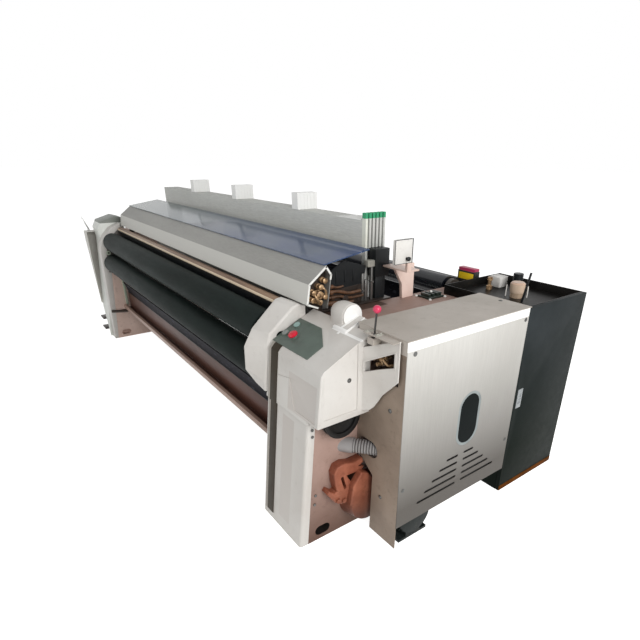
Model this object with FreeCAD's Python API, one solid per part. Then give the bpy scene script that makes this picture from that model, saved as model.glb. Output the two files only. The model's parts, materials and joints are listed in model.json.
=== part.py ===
import FreeCAD
import Part
import math
import os

# Wide power loom of the water-jet kind, standing on its own cast side frames.
# Millimetres. X runs along the cloth width (+X is the drive side), Y runs from
# the cloth side (-Y) to the warp side (+Y), Z is up and the floor is Z = 0.

os.makedirs("parts", exist_ok=True)

# ---------------------------------------------------------------- main sizes
frame_space = 2985.0          # between the inner faces of the two side frames
frame_width = 335.0           # each side frame, along X
side_housing_width = 280.0    # drive housing, from right frame to side panel
left_housing_width = 125.0    # left frame to the left outer cover
post_foot_reach = 316.0       # post cover foot, in front of the side panel
panel_length = 741.0          # brushed side panel, along Y
cabinet_depth = 481.0         # electric cabinet, along Y
cover_rise = 57.0             # top of the side housing, above the frames
sheet = 3.0                   # folded sheet covers
moulded_wall = 6.0            # moulded covers
plate_gap = 0.3               # between pieces that only stand next to each other
slide_gap = 0.3               # each side of a sliding piece
shaft_gap = 0.05              # radial, shaft in its hole

loom_length = left_housing_width + 2 * frame_width + frame_space + side_housing_width
loom_depth = post_foot_reach + panel_length + cabinet_depth

x_right = loom_length / 2
x_left = -loom_length / 2
right_outer = x_right - side_housing_width
right_inner = right_outer - frame_width
left_inner = right_inner - frame_space
left_outer = left_inner - frame_width
y_panel = -loom_depth / 2 + post_foot_reach
y_cabinet = y_panel + panel_length
y_rear = loom_depth / 2

# side frames
frame_height = 950.0
cover_height = frame_height + cover_rise
frame_wall = 16.0
pocket_depth = 60.0
frame_front_reach = 273.0     # foot of the frame, in front of the side panel
frame_rear_reach = 1030.0     # rear of the frame, behind the panel's front edge
frame_lean = 68.0             # how far the front leans back at the shoulder
frame_neck = 150.0            # from the foot back to the sloped neck
frame_neck_drop = 50.0        # neck below the top of the frame
frame_shoulder_drop = 170.0
frame_neck_z = frame_height - frame_neck_drop
frame_shoulder_z = frame_height - frame_shoulder_drop
lift_slot = (48.0, 80.0, 50.0)         # height of centre, length, width
large_hole = (224.0, 263.0, 95.0)      # from frame foot, height, diameter
small_hole = (313.0, 178.0, 50.0)
belt_slot = (60.0, 257.0, 130.0, 24.0)  # from frame foot, height, length, width

# rollers
take_up_radius = 79.0
take_up_y = -170.0            # from the front edge of the side panel
take_up_drop = 65.0           # centre below the top of the frames
take_up_z = frame_height - take_up_drop
press_radius = 75.0
press_y = -200.0
press_drop = 243.0
press_z = frame_height - press_drop
roller_shaft_radius = 22.0
roller_end_room_right = 128.0  # frame face to the end of the roller body
roller_end_room_left = 46.0
backrest_radius = 60.0
backrest_y = 950.0
backrest_drop = 20.0          # centre below the top of the frame
bearing_thickness = 28.0
bearing_rim = 30.0            # metal left round a roller shaft
bearing_foot = 104.0          # backrest bearing, below the shaft's centre
shaft_rim = 20.0              # in front of the two front rollers' shafts
end_wall_room = 7.0           # step in a bearing plate, beside a cover's end wall

# cross members
guide_bar_y = -90.0
guide_bar_width = 34.0
guide_bar_height = 33.0
guide_bar_base_z = frame_height + 23.0
rail_y = -160.0
rail_depth = 22.0
rail_top_z = 313.0
rail_height = 32.0
beam_y = -70.0
beam_depth = 90.0
beam_top_z = 429.0
beam_height = 150.0
rear_beam_y = 870.0

# splash guard
guard_lip = (-68.0, frame_height + 68.0)   # Y from the panel's front edge, Z
guard_fold = (-55.0, frame_height + 157.0)
guard_ridge = (37.0, frame_height + 227.0)
guard_hook = (66.0, frame_height + 185.0)
guard_inner = (44.0, frame_height + 35.0)
guard_wall = 4.0
guard_overhang = 55.0         # past the right frame's inner face
glass_thickness = 5.0
glass_reach = 252.0           # ridge to rear edge, along Y
glass_rise = 40.0
glass_end_room = 6.0          # from the guard's ends

# heald frames
heald_count = 6
heald_front_y = 350.0
heald_pitch = 22.0
heald_thickness = 12.0
stave_height = 140.0
stave_top_z = frame_height + 375.0
lower_stave_z = 560.0
strut_width = 26.0
heald_end_room = 66.0
cap_height = 28.0
spacer_size = (62.0, 88.0)    # along X, above the stave
spacer_places = (0.236, 0.499, 0.772)
guide_post_depth = 36.0
guide_post_height = 360.0
guide_foot = 14.0

# sley
sley_pivot_y = 210.0
sley_pivot_z = 300.0
rocking_radius = 34.0
sword_thickness = 40.0
sley_beam_z = 800.0
sley_beam_size = (96.0, 70.0)  # along Y, along Z
reed_height = 170.0
reed_thickness = 14.0
reed_wires = 96
reed_wire = 3.0
reed_rail = 18.0
sley_end_room = 120.0
sword_inset = 420.0           # frame face to the middle of a sword

# moulded covers of the two front posts
cover_lean = 88.0             # how far the front leans back at cover_lean_z
cover_lean_z = 870.0
post_top_z = frame_height - 330.0
post_left_round = 7.0
post_right_round = 16.0
hood_proud = 6.0
hood_front_z = frame_height - 78.0
hood_round = 14.0
hood_nose = 18.0
hood_peak = (-42.0, frame_height + 10.0)   # Y from the panel's front edge, Z
hood_side_reach = 75.0        # side box, past the right frame's outer face
hood_box_base_z = frame_height - 314.0
recess_depth = 5.0
hood_edge = 7.0               # radius of the hood's outer edges
recess_border = (26.0, 28.0, 62.0)       # side box recess: front, below, behind
front_recess_depth = 2.5
# X from the hood's left edge, Z above its box's base
front_recess = [(183.0, 137.0), (387.0, 165.0), (387.0, 12.0), (232.0, 12.0)]
seam_width = 3.0              # seam from the recess to the hood's left part
seam_start = (93.0, 121.0)
hood_back = 50.0              # hood's right part, behind the side panel's front edge
hood_back_slant = (185.0, 115.0)         # its left end: width of the slant, of the flat part
hump_centre = (24.0, frame_height + 58.0)
hump_radius = 50.0
hump_length = 40.0
hump_flank = 92.0
hump_inset = 81.0             # from the right frame's outer face
hump_cap = (47.0, 9.0)        # radius, thickness
step_inset = 28.0             # raised step that the hump rises from
step_length = 87.0
step_front = 6.0              # in front of the hood's peak line
step_rises = (12.0, 3.0)      # above the hood's slope, at its front and rear
shoulder_width = 108.0
shoulder_drop = 310.0         # foot of the cover, below the top of the frames
shoulder_rim = [(-254.0, -shoulder_drop), (-301.0, -229.0), (-298.0, -118.0), (-253.0, -42.0),
                (-130.0, 69.0), (-112.0, 73.0), (-99.0, 74.0)]
shoulder_end = [(-263.0, -shoulder_drop), (-262.0, -260.0), (-240.0, -98.0), (-226.0, -46.0),
                (-107.0, 52.0), (-76.0, 64.0), (-46.0, 56.0)]
shoulder_turn = 6.0           # bevelled turn into the end wall
wing_front = 14.0             # wing, in front of the guard plate
wing_fold = 68.0
wing_set_back = 40.0          # wing's start on the side box
wing_end_room = 28.0
wing_top_drop = 4.0           # below the side housing's top
wing_low = [(20.0, 20.0), (55.0, 30.0), (70.0, 46.0), (112.0, 114.0)]
wing_right_rise = 193.0       # lower right corner, above the box base
wing_corner = 10.0
wing_opening = [(8.0, 194.0), (8.0, 236.0), (155.0, 314.0), (155.0, 256.0)]
wing_rim = 8.0
wing_rim_height = 3.0

# control plate
plate_size = (273.0, 160.0)   # along X, up the slope
plate_corner = 74.0
plate_corner_run = 104.0
plate_thickness = 4.0
plate_set_back = 8.0          # up the slope from the hood's front edge
plate_inset = 4.0             # from the hood's left edge
stripe_width = 73.0
stripe_inset = 16.0
stripe_depth = 3.0
stripe_base_z = 32.0
stop_place = (92.0, 62.0)     # from the plate's left front corner
start_place = (38.0, 118.0)
reset_place = (30.0, 58.0)
stop_head_radius = 21.0
stop_collar_radius = 17.0
stop_collar_height = 9.0
stop_stem_radius = 8.0
button_radius = 15.0
button_height = 9.0
button_travel = 3.0
button_rim = 3.0
stop_head_rim = 6.0
stop_dome = 6.5

# left cover and left outer cover
left_cover_cut_z = 241.0
left_cover_foot = -300.0
left_cover_curve = [(-272.0, -150.0), (-256.0, -70.0), (-211.0, -5.0), (-154.0, 51.0),
                    (-78.0, 86.0)]
left_hood_front_z = frame_height - 50.0
left_hood_curve = [(-240.0, 35.0), (-205.0, 98.0), (-79.0, 136.0), (-20.0, 120.0)]
left_wing_base_z = 270.0
left_wing_top_z = frame_height - 25.0
left_wing_edge = (14.0, 15.0)  # bevel along its top, along X and Z
left_wing_skirt = 70.0
left_wing_front = 300.0
left_wing_rear = 700.0
left_lever_x = 40.0           # from the left outer face
left_lever_y = -262.0
left_lever_size = (122.0, 42.0)   # height, lean towards the front

# side housing
panel_base_z = 147.0
window_centre = (405.0, 558.0)
window_size = (146.0, 270.0)
window_frame = 9.0
vent_rows = 5
vent_pitch = 38.0
vent_base_z = 229.0
vent_height = 12.0
vent_left = (116.0, 364.0)
vent_right = (401.0, 641.0)
vent_taper = 43.0
guard_plate_base_z = 29.0
guard_plate_foot_x = -177.0   # from the side panel
guard_plate_corner = (-168.0, 330.0)
guard_plate_left_z = 418.0
# behind the wing's opening: X, then Z
plate_window = (-206.0, -40.0, frame_height - 138.0, frame_height - 4.0)
hose_hole = (-204.0, 458.0, 126.0, 78.0)   # X from the side panel, Z, length, width

# electric cabinet
cabinet_width = 274.0
cabinet_wall = 4.0
door_thickness = 20.0
door_gap = 1.0
handle_place = (44.0, 540.0)  # from the door's free edge, height
handle_size = (40.0, 104.0, 5.0)
tray_left = 520.0             # side panel to the far end of the tray
tray_wall = 5.0
tray_height = 50.0
cabinet_height = frame_height + tray_height
drum_place = (-247.0, 1000.0)
drum_radius = 37.0
drum_height = 78.0

# drive side
pulley_centre = (-118.0, 629.0)
pulley_radius = 88.0
pulley_width = 38.0
pulley_stand_off = 18.0
casting_drum = (20.0, 165.0, 118.0)
casting_depth = 78.0
casting_arm_depth = 46.0
casting_edge = 7.0
casting_horn = [(-30, 336), (6, 322), (40, 280), (110, 220), (-92, 180), (-74, 280)]
casting_arm = [(-2, 386), (-52, 380), (-104, 396), (-140, 390), (-156, 360), (-150, 300),
               (-141, 262), (-152, 258), (-182, 284), (-194, 270), (-152, 206), (-120, 184),
               (-84, 176), (0, 200), (10, 300), (-46, 256), (-88, 326), (-4, 322), (8, 340),
               (-22, 352), (6, 362)]
casting_slot = (-107.0, 297.0, 74.0, 15.0, 15.0)   # Y, Z, length, width, degrees of tilt
casting_bolts = [(-138.0, 214.0), (-106.0, 202.0), (-60.0, 222.0)]
casting_bolt = (11.0, 8.0)    # radius, height
hose_start = (-62.0, 458.0)
hose_radius = 32.0
hose_bore = 26.0
hose_rib = 3.0
hose_pitch = 12.5
hose_ribs = 12
hose_cuff = 34.0
hose_cuff_wall = 3.0
hose_angle = 40.0             # from square to the frame, towards the rear
motor_centre = (150.0, 120.0)
motor_radius = 88.0
motor_length = 150.0
motor_fins = 20
motor_set_in = 30.0           # from the side panel's outer face
motor_end_bell = 20.0
motor_nose_radius = 15.0
motor_foot = 14.0
fin_thickness = 4.0
fin_height = 10.0

# brackets and small boxes
bracket_x = 10.0
bracket_thickness = 20.0
bracket_outline = [(521, frame_height), (596, frame_height), (594, frame_height + 170),
                   (454, frame_height + 170), (514, frame_height + 74)]
board_size = (15.0, 106.0, 107.0)
board_place = (-452.0, 320.0, frame_height + 215.0)
board_neck = 26.0
board_arm = 8.0
relay_size = (118.0, 42.0, 76.0)
relay_place = (-646.0, 1006.0)
relay_step = 2.0
relay_lid = 16.0
lever_place = (-163.0, -22.0, frame_height + 25.0)
lever_length = 108.0
lever_radius = 4.0
lever_ball_radius = 16.0
lever_lean = 6.0              # degrees towards the side panel
socket_half = 18.0
socket_rise = 8.0
slot_half = 12.0
socket_wall = 6.0
lever_pin_radius = 4.0
lever_pin_half = 16.0


# ------------------------------------------------------------------ helpers
def vec(x, y, z):
    return FreeCAD.Vector(x, y, z)


def box(x0, x1, y0, y1, z0, z1):
    return Part.makeBox(x1 - x0, y1 - y0, z1 - z0, vec(x0, y0, z0))


def rod_x(y, z, radius, x0, x1):
    return Part.makeCylinder(radius, x1 - x0, vec(x0, y, z), vec(1, 0, 0))


def rod_y(x, z, radius, y0, y1):
    return Part.makeCylinder(radius, y1 - y0, vec(x, y0, z), vec(0, 1, 0))


def rod_z(x, y, radius, z0, z1):
    return Part.makeCylinder(radius, z1 - z0, vec(x, y, z0), vec(0, 0, 1))


def face_of(points):
    wire = Part.makePolygon(points + [points[0]])
    return Part.Face(wire)


def profile_x(points, x0, x1):
    """Prism along X from a list of (y, z)."""
    face = face_of([vec(x0, y, z) for y, z in points])
    return face.extrude(vec(x1 - x0, 0, 0))


def profile_y(points, y0, y1):
    """Prism along Y from a list of (x, z)."""
    face = face_of([vec(x, y0, z) for x, z in points])
    return face.extrude(vec(0, y1 - y0, 0))


def profile_z(points, z0, z1):
    """Prism along Z from a list of (x, y)."""
    face = face_of([vec(x, y, z0) for x, y in points])
    return face.extrude(vec(0, 0, z1 - z0))


def slot_x(y, z, length, width, x0, x1, upright=False):
    """Round-ended slot through X; it is upright or lies along Y."""
    half = (length - width) / 2
    if upright:
        ends = [(y, z - half), (y, z + half)]
        middle = box(x0, x1, y - width / 2, y + width / 2, z - half, z + half)
    else:
        ends = [(y - half, z), (y + half, z)]
        middle = box(x0, x1, y - half, y + half, z - width / 2, z + width / 2)
    caps = [rod_x(cy, cz, width / 2, x0, x1) for cy, cz in ends]
    return middle.fuse(caps)


def save(name, shape):
    shape = shape.removeSplitter()
    shape.exportStep("parts/" + name + ".step")
    print(name, len(shape.Solids), round(shape.Volume / 1e6, 3), shape.isValid())


# -------------------------------------------------------------- side frames
def frame_profile():
    """Side view of a side frame."""
    foot = y_panel - frame_front_reach
    rear = y_panel + frame_rear_reach
    return [
        (foot, 0.0),
        (foot + frame_lean, frame_shoulder_z),
        (foot + frame_neck, frame_neck_z),
        (y_panel, frame_height),
        (rear, frame_height),
        (rear, 0.0),
    ]


def side_frame(inner, outer):
    casting = profile_x(frame_profile(), min(inner, outer), max(inner, outer))
    foot = y_panel - frame_front_reach
    inward = math.copysign(1.0, outer - inner)

    def pocket(face, depth):
        return min(face, face + depth), max(face, face + depth)

    deep = pocket(inner, inward * pocket_depth)
    bearing = pocket(inner, inward * frame_wall)
    belt_y = foot + belt_slot[0] + belt_slot[2] / 2
    lift_y = foot + lift_slot[1]
    holes = [
        rod_x(foot + large_hole[0], large_hole[1], large_hole[2] / 2, *deep),
        rod_x(foot + small_hole[0], small_hole[1], small_hole[2] / 2, *deep),
        slot_x(belt_y, belt_slot[1], belt_slot[2], belt_slot[3], *deep),
        slot_x(lift_y, lift_slot[0], lift_slot[1], lift_slot[2], *deep),
        rod_x(y_panel + sley_pivot_y, sley_pivot_z, rocking_radius + shaft_gap, *bearing),
    ]
    if outer > inner:
        outside = pocket(outer, -pocket_depth)
        holes.append(slot_x(lift_y, lift_slot[0], lift_slot[1], lift_slot[2], *outside))
        holes.append(rod_x(y_panel + pulley_centre[0], pulley_centre[1],
                           roller_shaft_radius + shaft_gap, outer - frame_wall, outer))
    return casting.cut(holes)


def bearing_plate(face, side):
    """Cast plate on a frame's inner face that carries the two front rollers."""
    x0 = min(face, face + side * bearing_thickness)
    x1 = x0 + bearing_thickness
    press_front = y_panel + press_y - roller_shaft_radius - shaft_rim
    take_up_front = y_panel + take_up_y - roller_shaft_radius - shaft_rim
    rear = y_panel + guide_bar_y + guide_bar_width / 2 + bearing_rim
    low = press_z - roller_shaft_radius - 2 * bearing_rim
    top = guide_bar_base_z + guide_bar_height / 3
    points = [
        (press_front, low),
        (press_front, press_z + shaft_rim),
        (take_up_front, take_up_z),
        (y_panel + guide_bar_y - guide_bar_width / 2, top),
        (y_panel + guide_bar_y + guide_bar_width / 2, top),
        (rear, take_up_z + 2 * bearing_rim),
        (rear, low + 2 * bearing_rim),
        (press_front + 4 * bearing_rim, low),
    ]
    plate = profile_x(points, x0, x1)
    bore = roller_shaft_radius + shaft_gap
    bores = [
        rod_x(y_panel + take_up_y, take_up_z, bore, x0, x1),
        rod_x(y_panel + press_y, press_z, bore, x0, x1),
    ]
    step_x0, step_x1 = sorted((face, face + side * end_wall_room))
    frame_side = profile_x(frame_profile(), step_x0, step_x1)
    step = box(step_x0, step_x1, press_front - 1, rear + 1, low - 1, top + 1).cut(frame_side)
    return plate.cut(bores + [step])


def roller(y, z, radius, x0, x1, shaft_x0, shaft_x1):
    body = rod_x(y, z, radius, x0, x1)
    shaft = rod_x(y, z, roller_shaft_radius, shaft_x0, shaft_x1)
    return body.fuse(shaft)


def make_frames():
    save("right_side_frame", side_frame(right_inner, right_outer))
    save("left_side_frame", side_frame(left_inner, left_outer))
    save("right_bearing_plate", bearing_plate(right_inner, -1))
    save("left_bearing_plate", bearing_plate(left_inner, 1))


def make_rollers():
    x0 = left_inner + roller_end_room_left
    x1 = right_inner - roller_end_room_right
    shaft_ends = (left_inner + plate_gap, right_inner - plate_gap)
    save("take_up_roller", roller(y_panel + take_up_y, take_up_z, take_up_radius,
                                  x0, x1, *shaft_ends))
    save("press_roller", roller(y_panel + press_y, press_z, press_radius,
                                x0, x1, *shaft_ends))


def make_cross_members():
    x0 = left_inner
    x1 = right_inner
    y = y_panel + guide_bar_y
    half = guide_bar_width / 2
    z = guide_bar_base_z
    bar = profile_x([(y - half, z), (y + half, z), (y + half, z + guide_bar_height),
                     (y, z + guide_bar_height), (y - half, z + guide_bar_height * 0.65)],
                    x0 + bearing_thickness, x1 - bearing_thickness)
    save("guide_bar", bar)
    y = y_panel + rail_y
    save("front_lower_rail", box(x0, x1, y - rail_depth / 2, y + rail_depth / 2,
                                 rail_top_z - rail_height, rail_top_z))
    for name, place in (("front_cross_beam", beam_y), ("rear_cross_beam", rear_beam_y)):
        y = y_panel + place
        save(name, box(x0, x1, y - beam_depth / 2, y + beam_depth / 2,
                       beam_top_z - beam_height, beam_top_z))


def ribbon(points, thickness):
    """Closed outline of a bent strip: the points, and the same line set off."""
    offset = []
    last = len(points) - 1
    for index, (a, b) in enumerate(points):
        normals = []
        for start, end in ((index - 1, index), (index, index + 1)):
            if start < 0 or end > last:
                continue
            da = points[end][0] - points[start][0]
            db = points[end][1] - points[start][1]
            length = math.hypot(da, db)
            normals.append((-db / length, da / length))
        na = sum(normal[0] for normal in normals) / len(normals)
        nb = sum(normal[1] for normal in normals) / len(normals)
        scale = thickness / (na * na + nb * nb)
        offset.append((a + na * scale, b + nb * scale))
    return points + offset[::-1]


# ------------------------------------------------------------- splash guard
def guard_outline(points):
    return [(y_panel + y, z) for y, z in points]


def make_splash_guard():
    x0 = left_inner
    x1 = right_inner + guard_overhang
    line = guard_outline([guard_lip, guard_fold, guard_ridge, guard_hook, guard_inner])
    save("splash_guard", profile_x(ribbon(line, -guard_wall), x0, x1))

    # upright end brackets that fill the channel and stand on the frames
    for name, face, side in (("guard_bracket_left", left_inner, -1),
                             ("guard_bracket_right", right_inner, 1)):
        b0 = min(face + side * bracket_x, face + side * (bracket_x + guard_wall))
        plate = box(b0, b0 + guard_wall, y_panel + guard_lip[0], y_panel + guard_hook[0],
                    guard_inner[1], guard_ridge[1])
        leg = box(b0, b0 + guard_wall, y_panel, y_panel + guard_inner[0] - guard_wall,
                  frame_height, guard_fold[1])
        foot = box(min(face, face + side * 3 * bracket_x), max(face, face + side * 3 * bracket_x),
                   y_panel, y_panel + guard_inner[0] - guard_wall,
                   frame_height, frame_height + guard_wall)
        head = plate.common(profile_x(room_outline(), b0, b0 + guard_wall))
        save(name, foot.fuse([leg, head]))

    y0 = y_panel + guard_ridge[0] - 2 * guard_wall
    z0 = guard_ridge[1] + plate_gap - 2 * guard_wall * glass_rise / glass_reach
    sheet_line = [(y0, z0), (y0 + glass_reach, z0 + glass_rise)]
    save("splash_glass", profile_x(ribbon(sheet_line, glass_thickness),
                                   x0 + glass_end_room, x1 - glass_end_room))


def room_outline():
    """Inside of the guard channel, from lip to inner edge."""
    line = guard_outline([guard_lip, guard_fold, guard_ridge, guard_hook, guard_inner])
    strip = ribbon(line, -guard_wall)
    return strip[len(line):]


# ------------------------------------------------------------- heald frames
def heald_y(index):
    return y_panel + heald_front_y + index * heald_pitch


def heald_frame(index):
    x0 = left_inner + heald_end_room / 2
    x1 = right_inner - heald_end_room
    y0 = heald_y(index)
    y1 = y0 + heald_thickness
    low = lower_stave_z - stave_height
    top = box(x0, x1, y0, y1, stave_top_z - stave_height, stave_top_z)
    bottom = box(x0, x1, y0, y1, low, lower_stave_z)
    struts = [box(x0, x0 + strut_width, y0, y1, low, stave_top_z),
              box(x1 - strut_width, x1, y0, y1, low, stave_top_z + cap_height / 4)]
    gusset_run = 10 * strut_width
    gusset = profile_y([(x1 - gusset_run, stave_top_z), (x1, stave_top_z),
                        (x1, stave_top_z + cap_height / 4)], y0, y1)
    return top.fuse([bottom, gusset] + struts)


def heald_blocks(index):
    x0 = left_inner + heald_end_room / 2
    x1 = right_inner - heald_end_room
    middle = heald_y(index) + heald_thickness / 2
    half = heald_pitch / 2 - plate_gap
    length = x1 - x0
    pieces = []
    for place in spacer_places:
        start = x0 + place * length
        block = box(start, start + spacer_size[0], middle - half, middle + half,
                    stave_top_z, stave_top_z + spacer_size[1])
        pieces.append(block)
    cap_base = stave_top_z + cap_height / 4
    pieces.append(box(x1 - strut_width, x1, middle - half + heald_thickness / 4,
                      middle + half - heald_thickness / 4, cap_base, cap_base + cap_height))
    return pieces


def heald_guide(face, strut_edge):
    """Comb of grooves that the frame ends slide in, on a side frame's inner face."""
    low = min(face, strut_edge)
    high = max(face, strut_edge)
    y0 = heald_y(0) - guide_post_depth / 2
    y1 = heald_y(heald_count - 1) + heald_thickness + guide_post_depth / 2
    base = frame_height - guide_post_height
    post = box(low, high, y0, y1, base, frame_height - guide_foot)
    for index in range(heald_count):
        groove_y0 = heald_y(index) - slide_gap
        groove_y1 = heald_y(index) + heald_thickness + slide_gap
        if face < strut_edge:
            groove = box(strut_edge - strut_width / 2, strut_edge, groove_y0, groove_y1,
                         base, frame_height)
        else:
            groove = box(strut_edge, strut_edge + strut_width / 2, groove_y0, groove_y1,
                         base, frame_height)
        post = post.cut(groove)
    return post


def make_healds():
    for index in range(heald_count):
        save("heald_frame_%d" % (index + 1), heald_frame(index).fuse(heald_blocks(index)))
    grip = strut_width / 2 - slide_gap
    save("heald_guide_left", heald_guide(left_inner, left_inner + heald_end_room / 2 + grip))
    save("heald_guide_right", heald_guide(right_inner, right_inner - heald_end_room - grip))


# --------------------------------------------------------------------- sley
def make_sley():
    y = y_panel + sley_pivot_y
    save("rocking_shaft", rod_x(y, sley_pivot_z, rocking_radius,
                                left_inner - frame_wall + plate_gap,
                                right_inner + frame_wall - plate_gap))
    beam_y0 = y - sley_beam_size[0] / 2
    beam_y1 = y + sley_beam_size[0] / 2
    for name, middle in (("sley_sword_left", left_inner + sword_inset),
                         ("sley_sword_right", right_inner - sword_inset)):
        x0 = middle - sword_thickness / 2
        x1 = middle + sword_thickness / 2
        hub = rod_x(y, sley_pivot_z, 2 * rocking_radius, x0, x1)
        web = profile_x([(y - 1.7 * rocking_radius, sley_pivot_z),
                         (beam_y0 + 20, sley_beam_z), (beam_y1 - 20, sley_beam_z),
                         (y + 1.7 * rocking_radius, sley_pivot_z)], x0, x1)
        bore = rod_x(y, sley_pivot_z, rocking_radius + shaft_gap, x0, x1)
        save(name, hub.fuse(web).cut(bore))

    x0 = left_inner + sley_end_room
    x1 = right_inner - sley_end_room
    z1 = sley_beam_z + sley_beam_size[1]
    reed_y0 = y + sley_beam_size[0] / 2 - 2 * reed_thickness
    groove = box(x0, x1, reed_y0, reed_y0 + reed_thickness, z1 - reed_rail, z1)
    beam = profile_x([(beam_y0, sley_beam_z), (beam_y0, z1 - 30), (beam_y0 + 30, z1),
                      (beam_y1, z1), (beam_y1, sley_beam_z)], x0, x1)
    save("sley_beam", beam.cut(groove))

    low = z1 - reed_rail
    high = low + reed_height
    pitch = (x1 - x0 - reed_rail) / reed_wires
    reed = box(x0, x1, reed_y0, reed_y0 + reed_thickness, low, high)
    gaps = []
    for index in range(reed_wires):
        start = x0 + reed_rail / 2 + index * pitch + reed_wire / 2
        gaps.append(box(start, start + pitch - reed_wire, reed_y0, reed_y0 + reed_thickness,
                        low + reed_rail, high - reed_rail))
    save("reed", reed.cut(gaps))


# ----------------------------------------------------------- backrest roller
def make_backrest():
    y = y_panel + backrest_y
    z = frame_height - backrest_drop
    save("backrest_roller", roller(y, z, backrest_radius,
                                   left_inner + roller_end_room_left,
                                   right_inner - roller_end_room_left,
                                   left_inner + plate_gap, right_inner - plate_gap))
    for name, face, side in (("backrest_bearing_left", left_inner, 1),
                             ("backrest_bearing_right", right_inner, -1)):
        x0 = min(face, face + side * bearing_thickness)
        x1 = x0 + bearing_thickness
        reach = roller_shaft_radius + bearing_rim
        block = box(x0, x1, y - reach, y + reach, z - bearing_foot, z)
        head = rod_x(y, z, reach, x0, x1)
        bore = rod_x(y, z, roller_shaft_radius + shaft_gap, x0, x1)
        save(name, block.fuse(head).cut(bore))


# ------------------------------------------------------------ front covers
def cover_y(z):
    """Outer front face of the post covers at height z."""
    return y_panel - post_foot_reach + cover_lean * z / cover_lean_z


def frame_front(top_z):
    """Front line of a side frame, from top_z down to the floor."""
    foot = y_panel - frame_front_reach
    if top_z <= frame_shoulder_z:
        return [(foot + frame_lean * top_z / frame_shoulder_z, top_z), (foot, 0.0)]
    return [(foot + frame_lean, frame_shoulder_z), (foot, 0.0)]


def make_right_post():
    post = profile_x([(cover_y(0), 0.0), (cover_y(post_top_z), post_top_z)]
                     + frame_front(post_top_z), right_inner, right_outer)
    for x, radius in ((right_inner, post_left_round), (right_outer, post_right_round)):
        upright = [edge for edge in post.Edges
                   if edge.BoundBox.ZLength > post_top_z / 2
                   and edge.BoundBox.YMin < cover_y(0) + 0.01
                   and edge.BoundBox.XMax - x < 0.01 and x - edge.BoundBox.XMin < 0.01]
        post = post.makeFillet(radius, upright)
    save("right_post_cover", post)

    y, z, slope = hood_slope()
    run = plate_set_back - plate_gap
    line = [(y + run * math.cos(math.radians(slope)), z + run * math.sin(math.radians(slope))),
            (y, z),
            (cover_y(hood_front_z - hood_nose) - hood_proud, hood_front_z - hood_nose),
            (cover_y(post_top_z) - hood_proud, post_top_z),
            (cover_y(post_top_z), post_top_z),
            (cover_y(stripe_base_z), stripe_base_z)]
    left = right_inner + stripe_inset
    save("post_stripe", profile_x(ribbon(line, -stripe_depth), left, left + stripe_width))


def hood_top_z(y):
    """Height of the hood's sloping top at y."""
    front_y, front_z, slope = hood_slope()
    return front_z + (y - front_y) * math.tan(math.radians(slope))


def hood_profile(inset, rear):
    low = hood_box_base_z if inset == 0 else hood_box_base_z - 2 * moulded_wall
    return [
        (cover_y(low) - hood_proud + inset, low),
        (cover_y(hood_front_z - hood_nose) - hood_proud + inset, hood_front_z - hood_nose - inset / 2),
        (cover_y(hood_front_z) - hood_proud + hood_round + inset / 2, hood_front_z - inset),
        (rear, hood_top_z(rear) - inset),
        (rear, low),
    ]


def half_plan(y, z, start, end, tip, radius, sign):
    """Straight side and curved flank of the hump, on one side of its axis."""
    edge_y = y + sign * radius
    return [Part.Arc(vec(start, edge_y, z),
                     vec(start - hump_flank * 0.62, y + sign * radius * 0.72, z),
                     vec(tip, y, z)).toShape(),
            Part.makeLine(vec(start, edge_y, z), vec(end, edge_y, z))]


def hump():
    """Round swelling of the hood: a body of revolution about X on a foot of the same plan."""
    y = y_panel + hump_centre[0]
    z = hump_centre[1]
    end = right_outer - hump_inset
    start = end - hump_length
    tip = start - hump_flank
    closing = [Part.makeLine(vec(end, y, z), vec(end, y + hump_radius, z)),
               Part.makeLine(vec(tip, y, z), vec(end, y, z))]
    half = half_plan(y, z, start, end, tip, hump_radius, 1)
    section = Part.Face(Part.Wire(Part.__sortEdges__(half + closing)))
    round_body = section.revolve(vec(start, y, z), vec(1, 0, 0), 360)
    across = Part.makeLine(vec(end, y + hump_radius, z), vec(end, y - hump_radius, z))
    other = half_plan(y, z, start, end, tip, hump_radius, -1)
    plan = Part.Face(Part.Wire(Part.__sortEdges__(half + other + [across])))
    return round_body.fuse(plan.extrude(vec(0, 0, frame_height - z)))


def hood_rear_part():
    """Right part of the hood, carried on up its slope behind the side panel's front edge."""
    slant, flat = hood_back_slant
    x1 = right_outer - 4 * sheet
    x0 = x1 - slant
    front = y_panel - 2 * plate_gap
    back = y_panel + hood_back
    wedge = profile_x([(front, frame_height), (front, hood_top_z(front)),
                       (back, hood_top_z(back)), (back, frame_height)], x0, x1)
    corner = profile_z([(x0, front), (x1 - flat, back), (x0, back)], 0, 2 * frame_height)
    return wedge.cut(corner)


def leaning_slab(depth, proud, x0, x1):
    """Thin slab on the hood's leaning front face, from proud of it to depth inside it."""
    low = hood_box_base_z
    high = hood_front_z - hood_nose
    return profile_x([(cover_y(low) - hood_proud - proud, low),
                      (cover_y(high) - hood_proud - proud, high),
                      (cover_y(high) - hood_proud + depth, high),
                      (cover_y(low) - hood_proud + depth, low)], x0, x1)


def outer_edges(solid, planes, rear, low):
    """Edges of a cover that lie in its end planes, without the rear and lower ones."""
    chosen = []
    for edge in solid.Edges:
        bounds = edge.BoundBox
        flat = bounds.XLength < 0.01
        at_plane = any(abs(bounds.XMin - plane) < 0.01 for plane in planes)
        at_rear = bounds.YMin > rear - 0.01
        at_low = bounds.ZMax < low + 0.01
        if flat and at_plane and not at_rear and not at_low:
            chosen.append(edge)
    return chosen


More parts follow.
